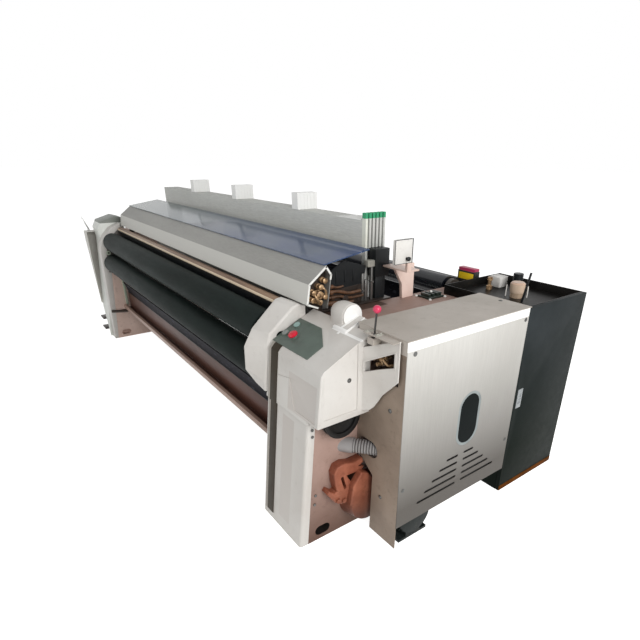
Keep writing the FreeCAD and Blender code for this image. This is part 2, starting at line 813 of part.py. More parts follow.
def hood_wing(box_x):
    """Folded wing between the side box and the side panel, with its rimmed opening."""
    wing_y = y_panel - wing_front
    line = [(box_x - 1, y_panel - wing_set_back), (box_x + wing_fold, wing_y),
            (x_right - wing_end_room, wing_y)]
    top = cover_height - wing_top_drop
    front = y_panel - wing_set_back - 3 * moulded_wall
    low = [(box_x + a - 22, hood_box_base_z + b) for a, b in wing_low]
    low = [(box_x - 2, low[0][1])] + low[1:]
    right = x_right - wing_end_room
    shape = profile_y(low + [(right - wing_corner, hood_box_base_z + wing_right_rise),
                             (right, hood_box_base_z + wing_right_rise + wing_corner),
                             (right, top),
                             (box_x - 2, hood_peak[1] - 4 * hood_edge)], front, y_panel)
    corners = [(box_x + a, hood_box_base_z + b) for a, b in wing_opening]
    opening = profile_y(corners, front, y_panel)
    (xa, za), (_, zb), (xc, zc), (_, zd) = corners
    rim = [(xa - wing_rim, za - wing_rim), (xa - wing_rim, zb + wing_rim / 2),
           (xc + wing_rim, zc + wing_rim), (xc + wing_rim, zd - wing_rim / 2)]
    sheet_part = profile_z(ribbon(line, moulded_wall - 1), hood_box_base_z, top).common(shape)
    raised = profile_z(ribbon(line, -wing_rim_height), hood_box_base_z, top)
    raised = raised.common(profile_y(rim, front, y_panel)).common(shape)
    return sheet_part.fuse(raised).cut(opening)


def make_hood():
    box_x = right_outer + hood_side_reach
    rear = y_panel - plate_gap
    back = rear + hump_centre[0] + hump_radius
    outer = profile_x(hood_profile(0, rear), right_inner, box_x)
    edges = outer_edges(outer, (right_inner, box_x), rear, hood_box_base_z)
    outer = outer.makeFillet(hood_edge, edges)
    inner = profile_x(hood_profile(moulded_wall, rear - moulded_wall),
                      right_inner + moulded_wall, box_x - moulded_wall)
    hood = outer.fuse([hood_rear_part(), hump()]).cut(inner)

    # shallow recesses: one in the front face with its seam, one in the box's side
    outline = [(right_inner + a, hood_box_base_z + b) for a, b in front_recess]
    panel = profile_y(outline, cover_y(0), y_panel)
    seam_x = right_inner + seam_start[0]
    seam_z = hood_box_base_z + seam_start[1]
    panel_x = right_inner + front_recess[0][0]
    panel_z = hood_box_base_z + front_recess[0][1]
    seam = profile_y([(seam_x, seam_z - seam_width), (seam_x, seam_z), (panel_x + 1, panel_z),
                      (panel_x + 1, panel_z - seam_width)], cover_y(0), y_panel)
    slab = leaning_slab(front_recess_depth, 1.0, right_inner, box_x)
    hood = hood.cut(slab.common(panel.fuse(seam)))
    border_front, border_low, border_rear = recess_border
    front = cover_y(hood_box_base_z) + border_front
    low = hood_box_base_z + border_low
    recess = box(box_x - recess_depth, box_x + 1, front, y_panel - border_rear, low, cover_height)
    backing = box(box_x - moulded_wall - recess_depth, box_x - recess_depth,
                  front - moulded_wall, y_panel - border_rear + moulded_wall,
                  low - moulded_wall, cover_height).common(outer)
    hood = hood.fuse(backing).cut(recess)

    # raised step that the hump rises from
    step_y = y_panel + hood_peak[0] - step_front
    step_x = right_outer - step_inset
    step_back = y_panel + hood_back
    front_rise, rear_rise = step_rises
    step = profile_x([(step_y, hood_top_z(step_y) - moulded_wall / 2),
                      (step_y, hood_top_z(step_y) + front_rise),
                      (step_back, hood_top_z(step_back) + rear_rise),
                      (step_back, hood_top_z(step_back) - moulded_wall / 2)],
                     step_x - step_length, step_x)
    hood = hood.fuse(step)

    keep_out = [
        profile_x(frame_profile(), right_inner, right_outer),
        box(right_inner, right_outer, y_panel, back, hood_box_base_z, frame_height),
        box(right_outer - 4 * sheet, box_x, y_panel - plate_gap, back, 0, cover_height + 1),
    ]
    hood = hood.cut(keep_out)

    # filling strip between post top and side box base
    front_strip = profile_x([(cover_y(post_top_z) - hood_proud, post_top_z),
                             (cover_y(hood_box_base_z) - hood_proud, hood_box_base_z),
                             (cover_y(hood_box_base_z) + moulded_wall, hood_box_base_z),
                             (cover_y(post_top_z) + moulded_wall, post_top_z)],
                            right_inner, right_outer)
    hood = hood.fuse([front_strip, hood_wing(box_x)])
    cap_radius, cap_depth = hump_cap
    cap_x = right_outer - hump_inset
    cap = rod_x(y_panel + hump_centre[0], hump_centre[1], cap_radius, cap_x, cap_x + cap_depth)
    save("console_hood", hood.fuse(cap))


def shoulder_loft(stations, inset):
    """Solid through one outline per station, each (x, outline), with straight bands between."""
    wires = []
    for x, outline in stations:
        points = [vec(x, y_panel + a + inset, frame_height + b - inset)
                  for a, b in outline]
        rear_y = y_panel + outline[-1][0] + 4 * inset
        base_z = frame_height - shoulder_drop - 4 * inset
        points.append(vec(x, rear_y, points[-1].z))
        points.append(vec(x, rear_y, base_z))
        points.append(vec(x, points[0].y, base_z))
        if inset == 0:
            points = points[:-3] + [points[-2]]
        wires.append(Part.makePolygon(points + [points[0]]))
    return Part.makeLoft(wires, True, True)


def make_right_shoulder():
    """Bulging cover over the roller ends, closed beside the hood."""
    x0 = right_inner - shoulder_width
    x1 = right_inner - plate_gap
    turned = [(a + shoulder_turn, b - shoulder_turn) for a, b in shoulder_end]
    turned[0] = (turned[0][0], -shoulder_drop)
    outer = shoulder_loft([(x0, shoulder_rim), (x1 - shoulder_turn, shoulder_end),
                           (x1, turned)], 0)
    inner = shoulder_loft([(x0 - 1, shoulder_rim), (x1 - end_wall_room + 1, shoulder_end)],
                          moulded_wall - 1)
    cover = outer.cut(inner)
    frame_side = profile_x(frame_profile(), x0, right_outer)
    keep_out = [frame_side.translated(vec(0, -plate_gap, plate_gap)), frame_side]
    bore = roller_shaft_radius + slide_gap
    for y, z in ((take_up_y, take_up_z), (press_y, press_z)):
        keep_out.append(rod_x(y_panel + y, z, bore, x0, right_outer))
    save("right_shoulder_cover", cover.cut(keep_out))


def cheek(line, back_y, x0, x1):
    """Side wall of a cover, from its outer line back to the side frame."""
    profile = frame_profile()
    corner = [(back_y, profile_z_at(back_y))]
    rest = [point for point in profile[1::-1]] if back_y < profile[2][0] else \
        [point for point in profile[2::-1]]
    return profile_x(line + corner + rest, x0, x1)


def profile_z_at(y):
    """Height of the side frame's neck and top at y."""
    profile = frame_profile()
    for (ya, za), (yb, zb) in zip(profile[1:3], profile[2:4]):
        if y <= yb:
            return za + (zb - za) * (y - ya) / (yb - ya)
    return frame_height


def make_left_covers():
    floor = box(left_outer - 1, left_inner + 1, y_panel - post_foot_reach - 1, y_panel + 50,
                -50.0, 0.0)
    split = left_inner - shoulder_width
    curve = [(y_panel + left_cover_foot, 0.0)]
    curve += [(y_panel + y, frame_height + z) for y, z in left_cover_curve]
    skin = profile_x(ribbon(curve, -moulded_wall), split + plate_gap, left_inner)
    inner_cheek = cheek(curve, curve[-1][0], left_inner - moulded_wall, left_inner)
    save("left_shoulder_cover", skin.fuse(inner_cheek).cut(floor))

    line = [(cover_y(0), 0.0), (cover_y(left_hood_front_z), left_hood_front_z)]
    line += [(y_panel + y, frame_height + z) for y, z in left_hood_curve]
    skin = profile_x(ribbon(line, -moulded_wall), left_outer, split)
    cheeks = [cheek(line, line[-1][0], left_outer, left_outer + moulded_wall),
              cheek(line, line[-1][0], split - moulded_wall, split)]
    corner = profile_y([(left_outer - 1, -1.0), (left_inner - shoulder_width, -1.0),
                        (left_outer - 1, left_cover_cut_z)],
                       y_panel - post_foot_reach - 1, y_panel)
    save("left_post_cover", skin.fuse(cheeks).cut([corner, floor]))

    front = y_panel - left_wing_front
    rear = y_panel + left_wing_rear
    edge_run, edge_rise = left_wing_edge
    high = left_wing_top_z + edge_rise
    skirt_z = left_wing_top_z - left_wing_skirt
    points = [(left_outer, left_wing_base_z), (left_outer, high), (x_left + edge_run, high),
              (x_left, left_wing_top_z), (x_left, skirt_z)]
    outer = profile_y(points, front, rear)
    inset = [(left_outer + 1, left_wing_base_z + 3 * sheet),
             (left_outer + 1, high - sheet), (x_left + edge_run + sheet / 2, high - sheet),
             (x_left + sheet, left_wing_top_z - sheet), (x_left + sheet, skirt_z + sheet)]
    inner = profile_y(inset, front + sheet, rear - sheet)
    save("left_side_cover", outer.cut(inner))


def make_side_housing():
    face = x_right
    y0 = y_panel
    y1 = y_cabinet - plate_gap
    top = cover_height - sheet
    panel = box(face - sheet, face, y0, y1, panel_base_z, top)
    wy = y_panel + window_centre[0]
    hole = slot_x(wy, window_centre[1], window_size[1], window_size[0],
                  face - sheet, face, upright=True)
    slots = []
    for row in range(vent_rows):
        z = vent_base_z + row * vent_pitch
        left0 = vent_left[0] + row * vent_taper
        right1 = vent_right[1] - row * vent_taper
        for a, b in ((left0, vent_left[1]), (vent_right[0], right1)):
            slots.append(slot_x(y_panel + (a + b) / 2, z, b - a, vent_height, face - sheet, face))
    save("side_panel", panel.cut([hole] + slots))

    rim = slot_x(wy, window_centre[1], window_size[1] + 2 * window_frame,
                 window_size[0] + 2 * window_frame, face - 2 * sheet, face - sheet, upright=True)
    pane = slot_x(wy, window_centre[1], window_size[1], window_size[0],
                  face - sheet, face - sheet / 2, upright=True)
    save("side_window", rim.fuse(pane))

    left = right_outer - 3 * sheet
    lid = box(left, face, y_panel, y_panel + panel_length + 14, top, cover_height)
    flange = box(left, left + sheet, y_panel + hood_back, y_cabinet,
                 frame_height, top)
    save("side_top_cover", lid.fuse(flange))

    hx, hz, hole_length, hole_width = hose_hole
    corner_x, corner_z = guard_plate_corner
    plate = profile_y([(right_outer, top), (face - sheet, top), (face - sheet, guard_plate_base_z),
                       (face + guard_plate_foot_x, guard_plate_base_z),
                       (face + corner_x, corner_z), (right_outer, guard_plate_left_z)],
                      y_panel, y_panel + sheet)
    half = (hole_length - hole_width) / 2
    hole = box(face + hx - half, face + hx + half, y_panel, y_panel + sheet,
               hz - hole_width / 2, hz + hole_width / 2)
    ends = [rod_y(face + hx - half, hz, hole_width / 2, y_panel, y_panel + sheet),
            rod_y(face + hx + half, hz, hole_width / 2, y_panel, y_panel + sheet)]
    lx = x_right + lever_place[0]
    ly = y_panel + lever_place[1]
    lz = lever_place[2]
    socket = box(lx - socket_half, lx + socket_half, ly - socket_half, y_panel,
                 lz - socket_half, lz + socket_rise)
    slot = box(lx - slot_half, lx + slot_half, ly - slot_half, ly + slot_half,
               lz - socket_wall, lz + socket_rise)
    pin_hole = rod_x(ly, lz, lever_pin_radius + shaft_gap, lx - lever_pin_half - slide_gap,
                     lx + lever_pin_half + slide_gap)
    view_x0, view_x1, view_z0, view_z1 = plate_window
    window = box(face + view_x0, face + view_x1, y_panel, y_panel + sheet, view_z0, view_z1)
    save("front_guard_plate",
         plate.cut([hole, window] + ends).fuse(socket.cut([slot, pin_hole])))


def make_cabinet():
    x1 = x_right - door_thickness - door_gap
    x0 = x_right - cabinet_width
    wall = cabinet_wall
    body = box(x0, x1, y_cabinet, y_rear, 0.0, frame_height)
    room = box(x0 + wall, x1, y_cabinet + wall, y_rear - wall, wall, frame_height - wall)
    save("cabinet_body", body.cut(room))

    door = box(x_right - door_thickness, x_right, y_cabinet + plate_gap, y_rear,
               sheet, cabinet_height)
    hy = y_cabinet + handle_place[0]
    hz = handle_place[1]
    pocket = box(x_right - handle_size[2], x_right, hy - handle_size[0] / 2,
                 hy + handle_size[0] / 2, hz - handle_size[1] / 2, hz + handle_size[1] / 2)
    save("cabinet_door", door.cut(pocket))
    plate = box(x_right - handle_size[2], x_right, hy - handle_size[0] / 2 + plate_gap,
                hy + handle_size[0] / 2 - plate_gap, hz - handle_size[1] / 2 + plate_gap,
                hz + handle_size[1] / 2 - plate_gap)
    grip = box(x_right - handle_size[2] / 2, x_right, hy - handle_size[0] / 4,
               hy + handle_size[0] / 4, hz - handle_size[1] / 4, hz + handle_size[1] / 4)
    save("door_handle", plate.cut(grip))

    tray = box(x_right - tray_left, x1, y_cabinet + 4 * wall, y_rear, frame_height, cabinet_height)
    hollow = box(x_right - tray_left + tray_wall, x1 - tray_wall,
                 y_cabinet + 4 * wall + tray_wall, y_rear - tray_wall,
                 frame_height + tray_wall, cabinet_height + 1)
    save("cabinet_tray", tray.cut(hollow))

    cx = x_right + drum_place[0]
    cy = y_panel + drum_place[1]
    z = frame_height + tray_wall
    line = Part.makePolygon([vec(cx, cy, z), vec(cx + drum_radius * 0.86, cy, z),
                             vec(cx + drum_radius * 0.9, cy, z + drum_height * 0.3),
                             vec(cx + drum_radius, cy, z + drum_height * 0.42),
                             vec(cx + drum_radius, cy, z + drum_height * 0.9),
                             vec(cx + drum_radius * 0.8, cy, z + drum_height),
                             vec(cx, cy, z + drum_height), vec(cx, cy, z)])
    save("feeder_drum", Part.Face(line).revolve(vec(cx, cy, 0), vec(0, 0, 1), 360))


def make_drive_side():
    y = y_panel + pulley_centre[0]
    z = pulley_centre[1]
    x0 = right_outer + pulley_stand_off
    wheel = rod_x(y, z, pulley_radius, x0, x0 + pulley_width)
    groove_ring = rod_x(y, z, pulley_radius, x0 + pulley_width * 0.3, x0 + pulley_width * 0.7)
    groove_core = rod_x(y, z, pulley_radius - 10, x0 + pulley_width * 0.3, x0 + pulley_width * 0.7)
    dish = rod_x(y, z, pulley_radius - 22, x0 + pulley_width - 12, x0 + pulley_width)
    hub = rod_x(y, z, 24.0, x0, x0 + pulley_width)
    shaft = rod_x(y, z, roller_shaft_radius, right_outer - frame_wall + plate_gap, x0)
    save("drive_pulley", wheel.cut([groove_ring.cut(groove_core), dish]).fuse([hub, shaft]))

    cy, cz, radius = casting_drum
    cy = y_panel + cy
    drum = Part.makeCone(radius, radius * 0.86, casting_depth, vec(right_outer, cy, cz),
                         vec(1, 0, 0))
    horn = cast_slab(casting_horn, casting_depth)
    arm = cast_slab(casting_arm, casting_arm_depth)
    slot_y, slot_z, slot_length, slot_width, tilt = casting_slot
    slot = slot_x(y_panel + slot_y, slot_z, slot_length, slot_width, right_outer,
                  right_outer + casting_arm_depth, upright=True)
    slot.rotate(vec(0, y_panel + slot_y, slot_z), vec(1, 0, 0), tilt)
    bolt_radius, bolt_height = casting_bolt
    bolts = [rod_x(y_panel + a, b, bolt_radius, right_outer,
                   right_outer + casting_arm_depth + bolt_height) for a, b in casting_bolts]
    save("drive_casting", arm.cut(slot).fuse([horn, drum] + bolts))


def cast_slab(outline, depth):
    """Slab against the right frame with its outer edge rounded like a casting."""
    face_x = right_outer + depth
    slab = profile_x([(y_panel + a, b) for a, b in outline], right_outer, face_x)
    rounded = [edge for edge in slab.Edges if edge.BoundBox.XMin > face_x - 0.01]
    return slab.makeFillet(casting_edge, rounded)


def make_hose():
    """Ribbed hose from the frame's outer face through the guard plate's hole."""
    length = hose_cuff + hose_ribs * hose_pitch
    outer = rod_x(0, 0, hose_radius + hose_cuff_wall, -hose_cuff, hose_cuff)
    stations = []
    for rib in range(hose_ribs):
        start = hose_cuff + rib * hose_pitch
        stations.append((start, hose_radius - hose_rib))
        stations.append((start + hose_pitch * 0.3, hose_radius))
        stations.append((start + hose_pitch * 0.55, hose_radius))
        stations.append((start + hose_pitch * 0.8, hose_radius - hose_rib))
    stations.append((length, hose_radius - hose_rib))
    circles = []
    for x, radius in stations:
        circles.append(Part.Wire(Part.makeCircle(radius, vec(x, 0, 0), vec(1, 0, 0))))
    ribs = Part.makeLoft(circles, True, True)
    hose = outer.fuse(ribs).cut(rod_x(0, 0, hose_bore, -hose_cuff - 1, length + 1))
    hose.rotate(vec(0, 0, 0), vec(0, 0, 1), hose_angle)
    hose.translate(vec(right_outer, y_panel + hose_start[0], hose_start[1]))
    inside = profile_x(frame_profile(), right_inner, right_outer)
    save("corrugated_hose", hose.cut(inside))


def make_motor():
    y = y_panel + motor_centre[0]
    z = motor_centre[1]
    x1 = x_right - motor_set_in
    x0 = x1 - motor_length
    shell = rod_x(y, z, motor_radius, x0, x1)
    fins = []
    for index in range(motor_fins):
        angle = 360.0 * index / motor_fins
        fin = box(x0 + motor_end_bell, x1 - motor_end_bell, y - fin_thickness / 2,
                  y + fin_thickness / 2, z, z + motor_radius + fin_height)
        fin.rotate(vec(0, y, z), vec(1, 0, 0), angle)
        fins.append(fin)
    foot = box(x0 + motor_end_bell / 2, x1 - motor_end_bell / 2, y - motor_radius,
               y + motor_radius, 0.0, motor_foot)
    legs = box(x0 + motor_end_bell / 2, x1 - motor_end_bell / 2, y - motor_radius / 2,
               y + motor_radius / 2, 0.0, z)
    nose = rod_x(y, z, motor_nose_radius, right_outer, x0)
    save("drive_motor", shell.fuse(fins + [foot, legs, nose]))


# ------------------------------------------------------------ control plate
def hood_slope():
    """Front edge of the hood's sloping top as (y, z), and the slope in degrees."""
    y = cover_y(hood_front_z) - hood_proud + hood_round
    run = y_panel + hood_peak[0] - y
    return y, hood_front_z, math.degrees(math.atan2(hood_peak[1] - hood_front_z, run))


def on_plate(shape, a, b):
    """Place a shape made about Z = 0 at (a, b) on the sloping control plate."""
    y, z, slope = hood_slope()
    shape.translate(vec(a, b + plate_set_back, 0))
    shape.rotate(vec(0, 0, 0), vec(1, 0, 0), slope)
    shape.translate(vec(right_inner + plate_inset, y, z))
    return shape


def make_controls():
    long, deep = plate_size
    face = face_of([vec(0, 0, 0), vec(long, 0, 0), vec(long, deep - plate_corner, 0),
                    vec(long - plate_corner_run, deep, 0), vec(0, deep, 0)])
    plate = face.extrude(vec(0, 0, plate_thickness))
    top = plate_thickness
    collar = Part.makeCylinder(stop_collar_radius, stop_collar_height, vec(0, 0, top))
    collar = collar.cut(Part.makeCylinder(stop_stem_radius + slide_gap, stop_collar_height,
                                          vec(0, 0, top)))
    collar.translate(vec(stop_place[0], stop_place[1], 0))
    rims = [collar]
    for place in (start_place, reset_place):
        rim = Part.makeCylinder(button_radius + button_rim, button_height - button_travel,
                                vec(0, 0, top))
        rim = rim.cut(Part.makeCylinder(button_radius + slide_gap, button_height, vec(0, 0, top)))
        rim.translate(vec(place[0], place[1], 0))
        rims.append(rim)
    stem_hole = Part.makeCylinder(stop_stem_radius + slide_gap, button_travel + 2 * slide_gap,
                                  vec(stop_place[0], stop_place[1],
                                      top - button_travel - 2 * slide_gap))
    save("control_plate", on_plate(plate.fuse(rims).cut(stem_hole), 0, 0))
    low = top + stop_collar_height + button_travel + slide_gap
    stem = Part.makeCylinder(stop_stem_radius, low - top - slide_gap, vec(0, 0, top + slide_gap))
    brim = low + stop_head_rim
    line = [(0, low), (stop_head_radius, low), (stop_head_radius, brim),
            (stop_head_radius * 0.8, brim + stop_dome * 0.6),
            (stop_head_radius * 0.4, brim + stop_dome), (0, brim + stop_dome)]
    head = face_of([vec(a, 0, b) for a, b in line]).revolve(vec(0, 0, 0), vec(0, 0, 1), 360)
    save("stop_button", on_plate(stem.fuse(head), *stop_place))
    for name, place in (("start_button", start_place), ("reset_button", reset_place)):
        button = Part.makeCylinder(button_radius, button_height - button_travel,
                                   vec(0, 0, top + button_travel + slide_gap))
        save(name, on_plate(button, *place))


def make_left_lever():
    x = x_left + left_lever_x
    y = y_panel + left_lever_y
    z = left_wing_top_z + left_wing_edge[1]
    stand = box(x - 9, x + 9, y - 8, y + 8, z, z + 14)
    blade = profile_x([(y - 6, z + 14 + plate_gap), (y - left_lever_size[1], z + left_lever_size[0]),
                       (y - left_lever_size[1] + 8, z + left_lever_size[0] + 4),
                       (y + 8, z + 14 + plate_gap)], x - 4, x + 4)
    save("left_lever", stand.fuse(blade.fuse(box(x - 4, x + 4, y - 6, y + 8, z + 10, z + 15))))


def make_brackets():
    x0 = right_inner + bracket_x
    x1 = x0 + bracket_thickness
    save("upper_bracket", profile_x([(y_panel + a, b) for a, b in bracket_outline], x0, x1))

    thick, width, tall = board_size
    bx = x_right + board_place[0]
    by = y_panel + board_place[1]
    bz = board_place[2]
    board = box(bx, bx + thick, by, by + width, bz, bz + tall)
    shelf_z = bracket_outline[2][1]
    neck = box(bx, bx + thick, by + width - board_neck, by + width, shelf_z + board_arm, bz)
    arm = box(x0, bx + thick, by + width - board_neck, by + width + 2 * board_neck,
              shelf_z, shelf_z + board_arm)
    save("signal_board", board.fuse([neck, arm]))

    rx = x_right + relay_place[0]
    ry = y_panel + relay_place[1]
    wide, deep, high = relay_size
    relay = box(rx, rx + wide, ry, ry + deep, frame_height, frame_height + high)
    lid = box(rx + relay_step, rx + wide - relay_step, ry + relay_step, ry + deep - relay_step,
              frame_height + high, frame_height + high + relay_lid)
    save("relay_box", relay.fuse(lid))

    lx = x_right + lever_place[0]
    ly = y_panel + lever_place[1]
    lz = lever_place[2]
    rod = rod_z(lx, ly, lever_radius, lz - 3, lz + lever_length)
    middle = lz + lever_length + lever_ball_radius * 0.8
    line = [(0, -1), (0.6, -0.8), (0.92, -0.38), (1, 0), (0.92, 0.38), (0.6, 0.8), (0, 1)]
    ball = face_of([vec(lx + lever_ball_radius * a, ly, middle + lever_ball_radius * b)
                    for a, b in line]).revolve(vec(lx, ly, 0), vec(0, 0, 1), 360)
    lever = rod.fuse(ball)
    lever.rotate(vec(lx, ly, lz), vec(0, 1, 0), lever_lean)
    pin = rod_x(ly, lz, lever_pin_radius, lx - lever_pin_half, lx + lever_pin_half)
    save("start_lever", lever.fuse(pin))


make_frames()
make_rollers()
make_cross_members()
make_splash_guard()
make_healds()
make_sley()
make_backrest()
make_right_post()
make_hood()
make_right_shoulder()
make_left_covers()
make_side_housing()
make_cabinet()
make_drive_side()
make_hose()
make_motor()
make_controls()
make_left_lever()
make_brackets()
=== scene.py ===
from contextlib import contextmanager
import json
import math

import bmesh
import bpy
from bpy.props import FloatProperty, FloatVectorProperty, PointerProperty
from mathutils import Matrix, Vector

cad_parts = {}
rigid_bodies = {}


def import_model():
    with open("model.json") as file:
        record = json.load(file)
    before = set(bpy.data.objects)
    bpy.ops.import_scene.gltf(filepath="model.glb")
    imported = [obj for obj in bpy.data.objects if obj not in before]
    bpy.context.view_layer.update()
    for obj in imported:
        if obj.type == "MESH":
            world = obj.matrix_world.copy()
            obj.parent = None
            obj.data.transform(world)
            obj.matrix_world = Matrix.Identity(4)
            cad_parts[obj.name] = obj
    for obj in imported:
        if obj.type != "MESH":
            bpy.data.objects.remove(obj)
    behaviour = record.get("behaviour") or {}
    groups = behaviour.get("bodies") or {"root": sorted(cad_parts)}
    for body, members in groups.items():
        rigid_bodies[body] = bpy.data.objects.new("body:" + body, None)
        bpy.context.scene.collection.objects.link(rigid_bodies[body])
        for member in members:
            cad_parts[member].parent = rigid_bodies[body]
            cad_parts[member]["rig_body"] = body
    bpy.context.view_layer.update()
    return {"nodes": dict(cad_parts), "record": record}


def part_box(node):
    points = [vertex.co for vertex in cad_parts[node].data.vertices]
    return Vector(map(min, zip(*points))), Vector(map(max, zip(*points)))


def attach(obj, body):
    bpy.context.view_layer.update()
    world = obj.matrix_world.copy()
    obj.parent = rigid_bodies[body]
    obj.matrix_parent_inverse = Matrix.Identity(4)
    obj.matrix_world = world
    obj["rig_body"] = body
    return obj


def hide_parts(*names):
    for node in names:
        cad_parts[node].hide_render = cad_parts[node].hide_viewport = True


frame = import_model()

bl_info = {
    "name": "Power loom looks",
    "version": (1, 0, 0),
    "blender": (4, 5, 0),
    "location": "View3D > Sidebar > Loom",
    "description": "Finishes and fine pieces of a wide water-jet power loom",
    "category": "Object",
}

MM = 0.001
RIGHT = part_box("side_top_cover")[1][0]      # outer face of the side panel
PANEL_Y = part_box("side_panel")[0][1]        # front edge of the side panel

# Places on the loom in panel-frame millimetres, see at()
ON_FRAME = 950.4                # just clear of the side frames' top
TRAY_FLOOR = 955.4              # just clear of the cabinet tray's floor
BETWEEN_FRAMES = (-3598, -617)  # along X, 2 mm clear of both side frames
GUARD_END = -560.0              # right end of the splash guard
FITTING_SEAT = -600.6           # just clear of the guard's right bracket plate
COLLAR_AXIS = (-222, 800)       # (y, z) of the rod between the front rollers
HOSE_START = (-280.0, -62.0, 458.0)
HOSE_TURN = 40.0                # degrees about Z, from the X axis
CUFF_LENGTH = 34.0
RIB_PITCH = 12.5
FIRST_HEALD = 338               # in front of the first heald frame, along Y
HEALD_PITCH = 22
HEALD_ROOM = 36                 # from there to behind the same frame

SHARP_ANGLE = 30.0              # degrees: edges sharper than this are rounded
SMOOTH_ANGLE = 35.0             # degrees: edges sharper than this stay crisp


def at(x, y, z):
    """A place in metres from millimetres out of the side panel, behind its front edge, above the floor."""
    return Vector((RIGHT + x * MM, PANEL_Y + y * MM, z * MM))


# ------------------------------------------------------------------ shading
GREY_0 = (0.0, 0.0, 0.0, 1.0)
GREY_1 = (1.0, 1.0, 1.0, 1.0)


def grey(value):
    return (value, value, value, 1.0)


def colour(hex_value):
    """Linear RGBA of an sRGB hex colour."""
    parts = [int(hex_value[k:k + 2], 16) / 255 for k in (1, 3, 5)]
    linear = [c / 12.92 if c <= 0.04045 else ((c + 0.055) / 1.055) ** 2.4 for c in parts]
    return (*linear, 1.0)


def add(tree, kind, links=(), values=(), stops=(), **settings):
    """Add a shader node: links are (socket, node, output) and values are (socket, value).

    Settings name the node's own values or its sockets; stops are a colour ramp's
    (position, RGBA) pairs.
    """
    node = tree.nodes.new("ShaderNode" + kind)
    for key, value in settings.items():
        if hasattr(node, key):
            setattr(node, key, value)
        else:
            node.inputs[key.replace("_", " ")].default_value = value
    for socket, source, output in links:
        tree.links.new(source.outputs[output], node.inputs[socket])
    for socket, value in values:
        node.inputs[socket].default_value = value
    if stops:
        elements = node.color_ramp.elements
        elements[0].position, elements[0].color = stops[0]
        elements[1].position, elements[1].color = stops[-1]
        for position, value in stops[1:-1]:
            elements.new(position).color = value
    return node


def new_material(name, **shader_values):
    """A material with a Principled shader whose plain values are set on its own sockets."""
    material = bpy.data.materials.new(name)
    material.use_nodes = True
    tree = material.node_tree
    shader = tree.nodes["Principled BSDF"]
    for key, value in shader_values.items():
        shader.inputs[key.replace("_", " ")].default_value = value
    return material, tree, shader


def stretched_place(tree, stretch=(1.0, 1.0, 1.0)):
    """Object coordinates in metres, scaled along each axis."""
    coordinates = add(tree, "TexCoord")
    return add(tree, "Mapping", [("Vector", coordinates, "Object")], Scale=stretch)


def axes_of(tree):
    """Object coordinates in metres, one output for each axis."""
    coordinates = add(tree, "TexCoord")
    return add(tree, "SeparateXYZ", [("Vector", coordinates, "Object")])


def lumps_of(size_mm):
    """Scale of a noise whose lumps are about size_mm across."""
    return 1.0 / (size_mm * MM)


def dirtied(tree, base, output, specks, grime, start, end, most):
    """Specks of grime over a colour, from none at noise level start to most at end."""
    mask = add(tree, "ValToRGB", [("Fac", specks, "Fac")],
               stops=[(start, GREY_0), (end, grey(most))])
    return add(tree, "Mix", [(0, mask, "Color"), (6, base, output)],
               [(7, colour(grime))], data_type="RGBA")


def seen_by(tree, *rays):
    """1 for the named kinds of ray, two or more, and 0 for the rest."""
    path = add(tree, "LightPath")
    last, output = path, rays[0]
    for ray in rays[1:]:
        last = add(tree, "Math", [(0, last, output), (1, path, ray)], operation="MAXIMUM")
        output = 0
    return last


def inside(tree, low, high):
    """1 inside the box between two places in panel-frame millimetres, 0 outside."""
    axes = axes_of(tree)
    last = None
    for axis, start, end in zip("XYZ", at(*low), at(*high)):
        near = add(tree, "Math", [(0, axes, axis)],
                   [(1, (start + end) / 2), (2, (end - start) / 2)], operation="COMPARE")
        if last:
            near = add(tree, "Math", [(0, last, 0), (1, near, 0)], operation="MULTIPLY")
        last = near
    return last


def repaint(material, *regions):
    """Give parts of one moulding other colours: regions are (low, high, hex colour)."""
    tree = material.node_tree
    socket = tree.nodes["Principled BSDF"].inputs["Base Color"]
    for low, high, value in regions:
        before = socket.links[0].from_socket
        mixed = add(tree, "Mix", [(0, inside(tree, low, high), "Value")],
                    [(7, colour(value))], data_type="RGBA")
        tree.links.new(before, mixed.inputs[6])
        tree.links.new(mixed.outputs[2], socket)
    return material


def repainted(slot, name, *regions):
    """A copy of a slot's finish under its own name, with regions in other colours."""
    material = MATERIALS[slot].copy()
    material.name = name
    return repaint(material, *regions)


def fading(tree, source, output, foot):
    """Darken a colour towards the floor; gives the last node and its output.

    foot is (height in mm, height in mm, hex colour): a darker colour that fades out between the heights.
    """
    if not foot:
        return source, output
    low, high, value = foot
    share = add(tree, "MapRange", [("Value", axes_of(tree), "Z")],
                From_Min=low * MM, From_Max=high * MM, To_Min=1.0, To_Max=0.0)
    return add(tree, "Mix", [(0, share, "Result"), (6, source, output)],
               [(7, colour(value))], data_type="RGBA"), 2


def worn_surface(tree, shader, wear, roughness, spread, grain, strength, depth_mm):
    """Roughness that follows the wear, less and more by spread, and a relief from the grain."""
    rough = add(tree, "MapRange", [("Value", wear, "Fac")],
                To_Min=roughness - spread[0], To_Max=roughness + spread[1])
    tree.links.new(rough.outputs[0], shader.inputs["Roughness"])
    relief = add(tree, "Bump", [("Height", grain, "Fac")], Strength=strength,
                 Distance=depth_mm * MM)
    tree.links.new(relief.outputs[0], shader.inputs["Normal"])


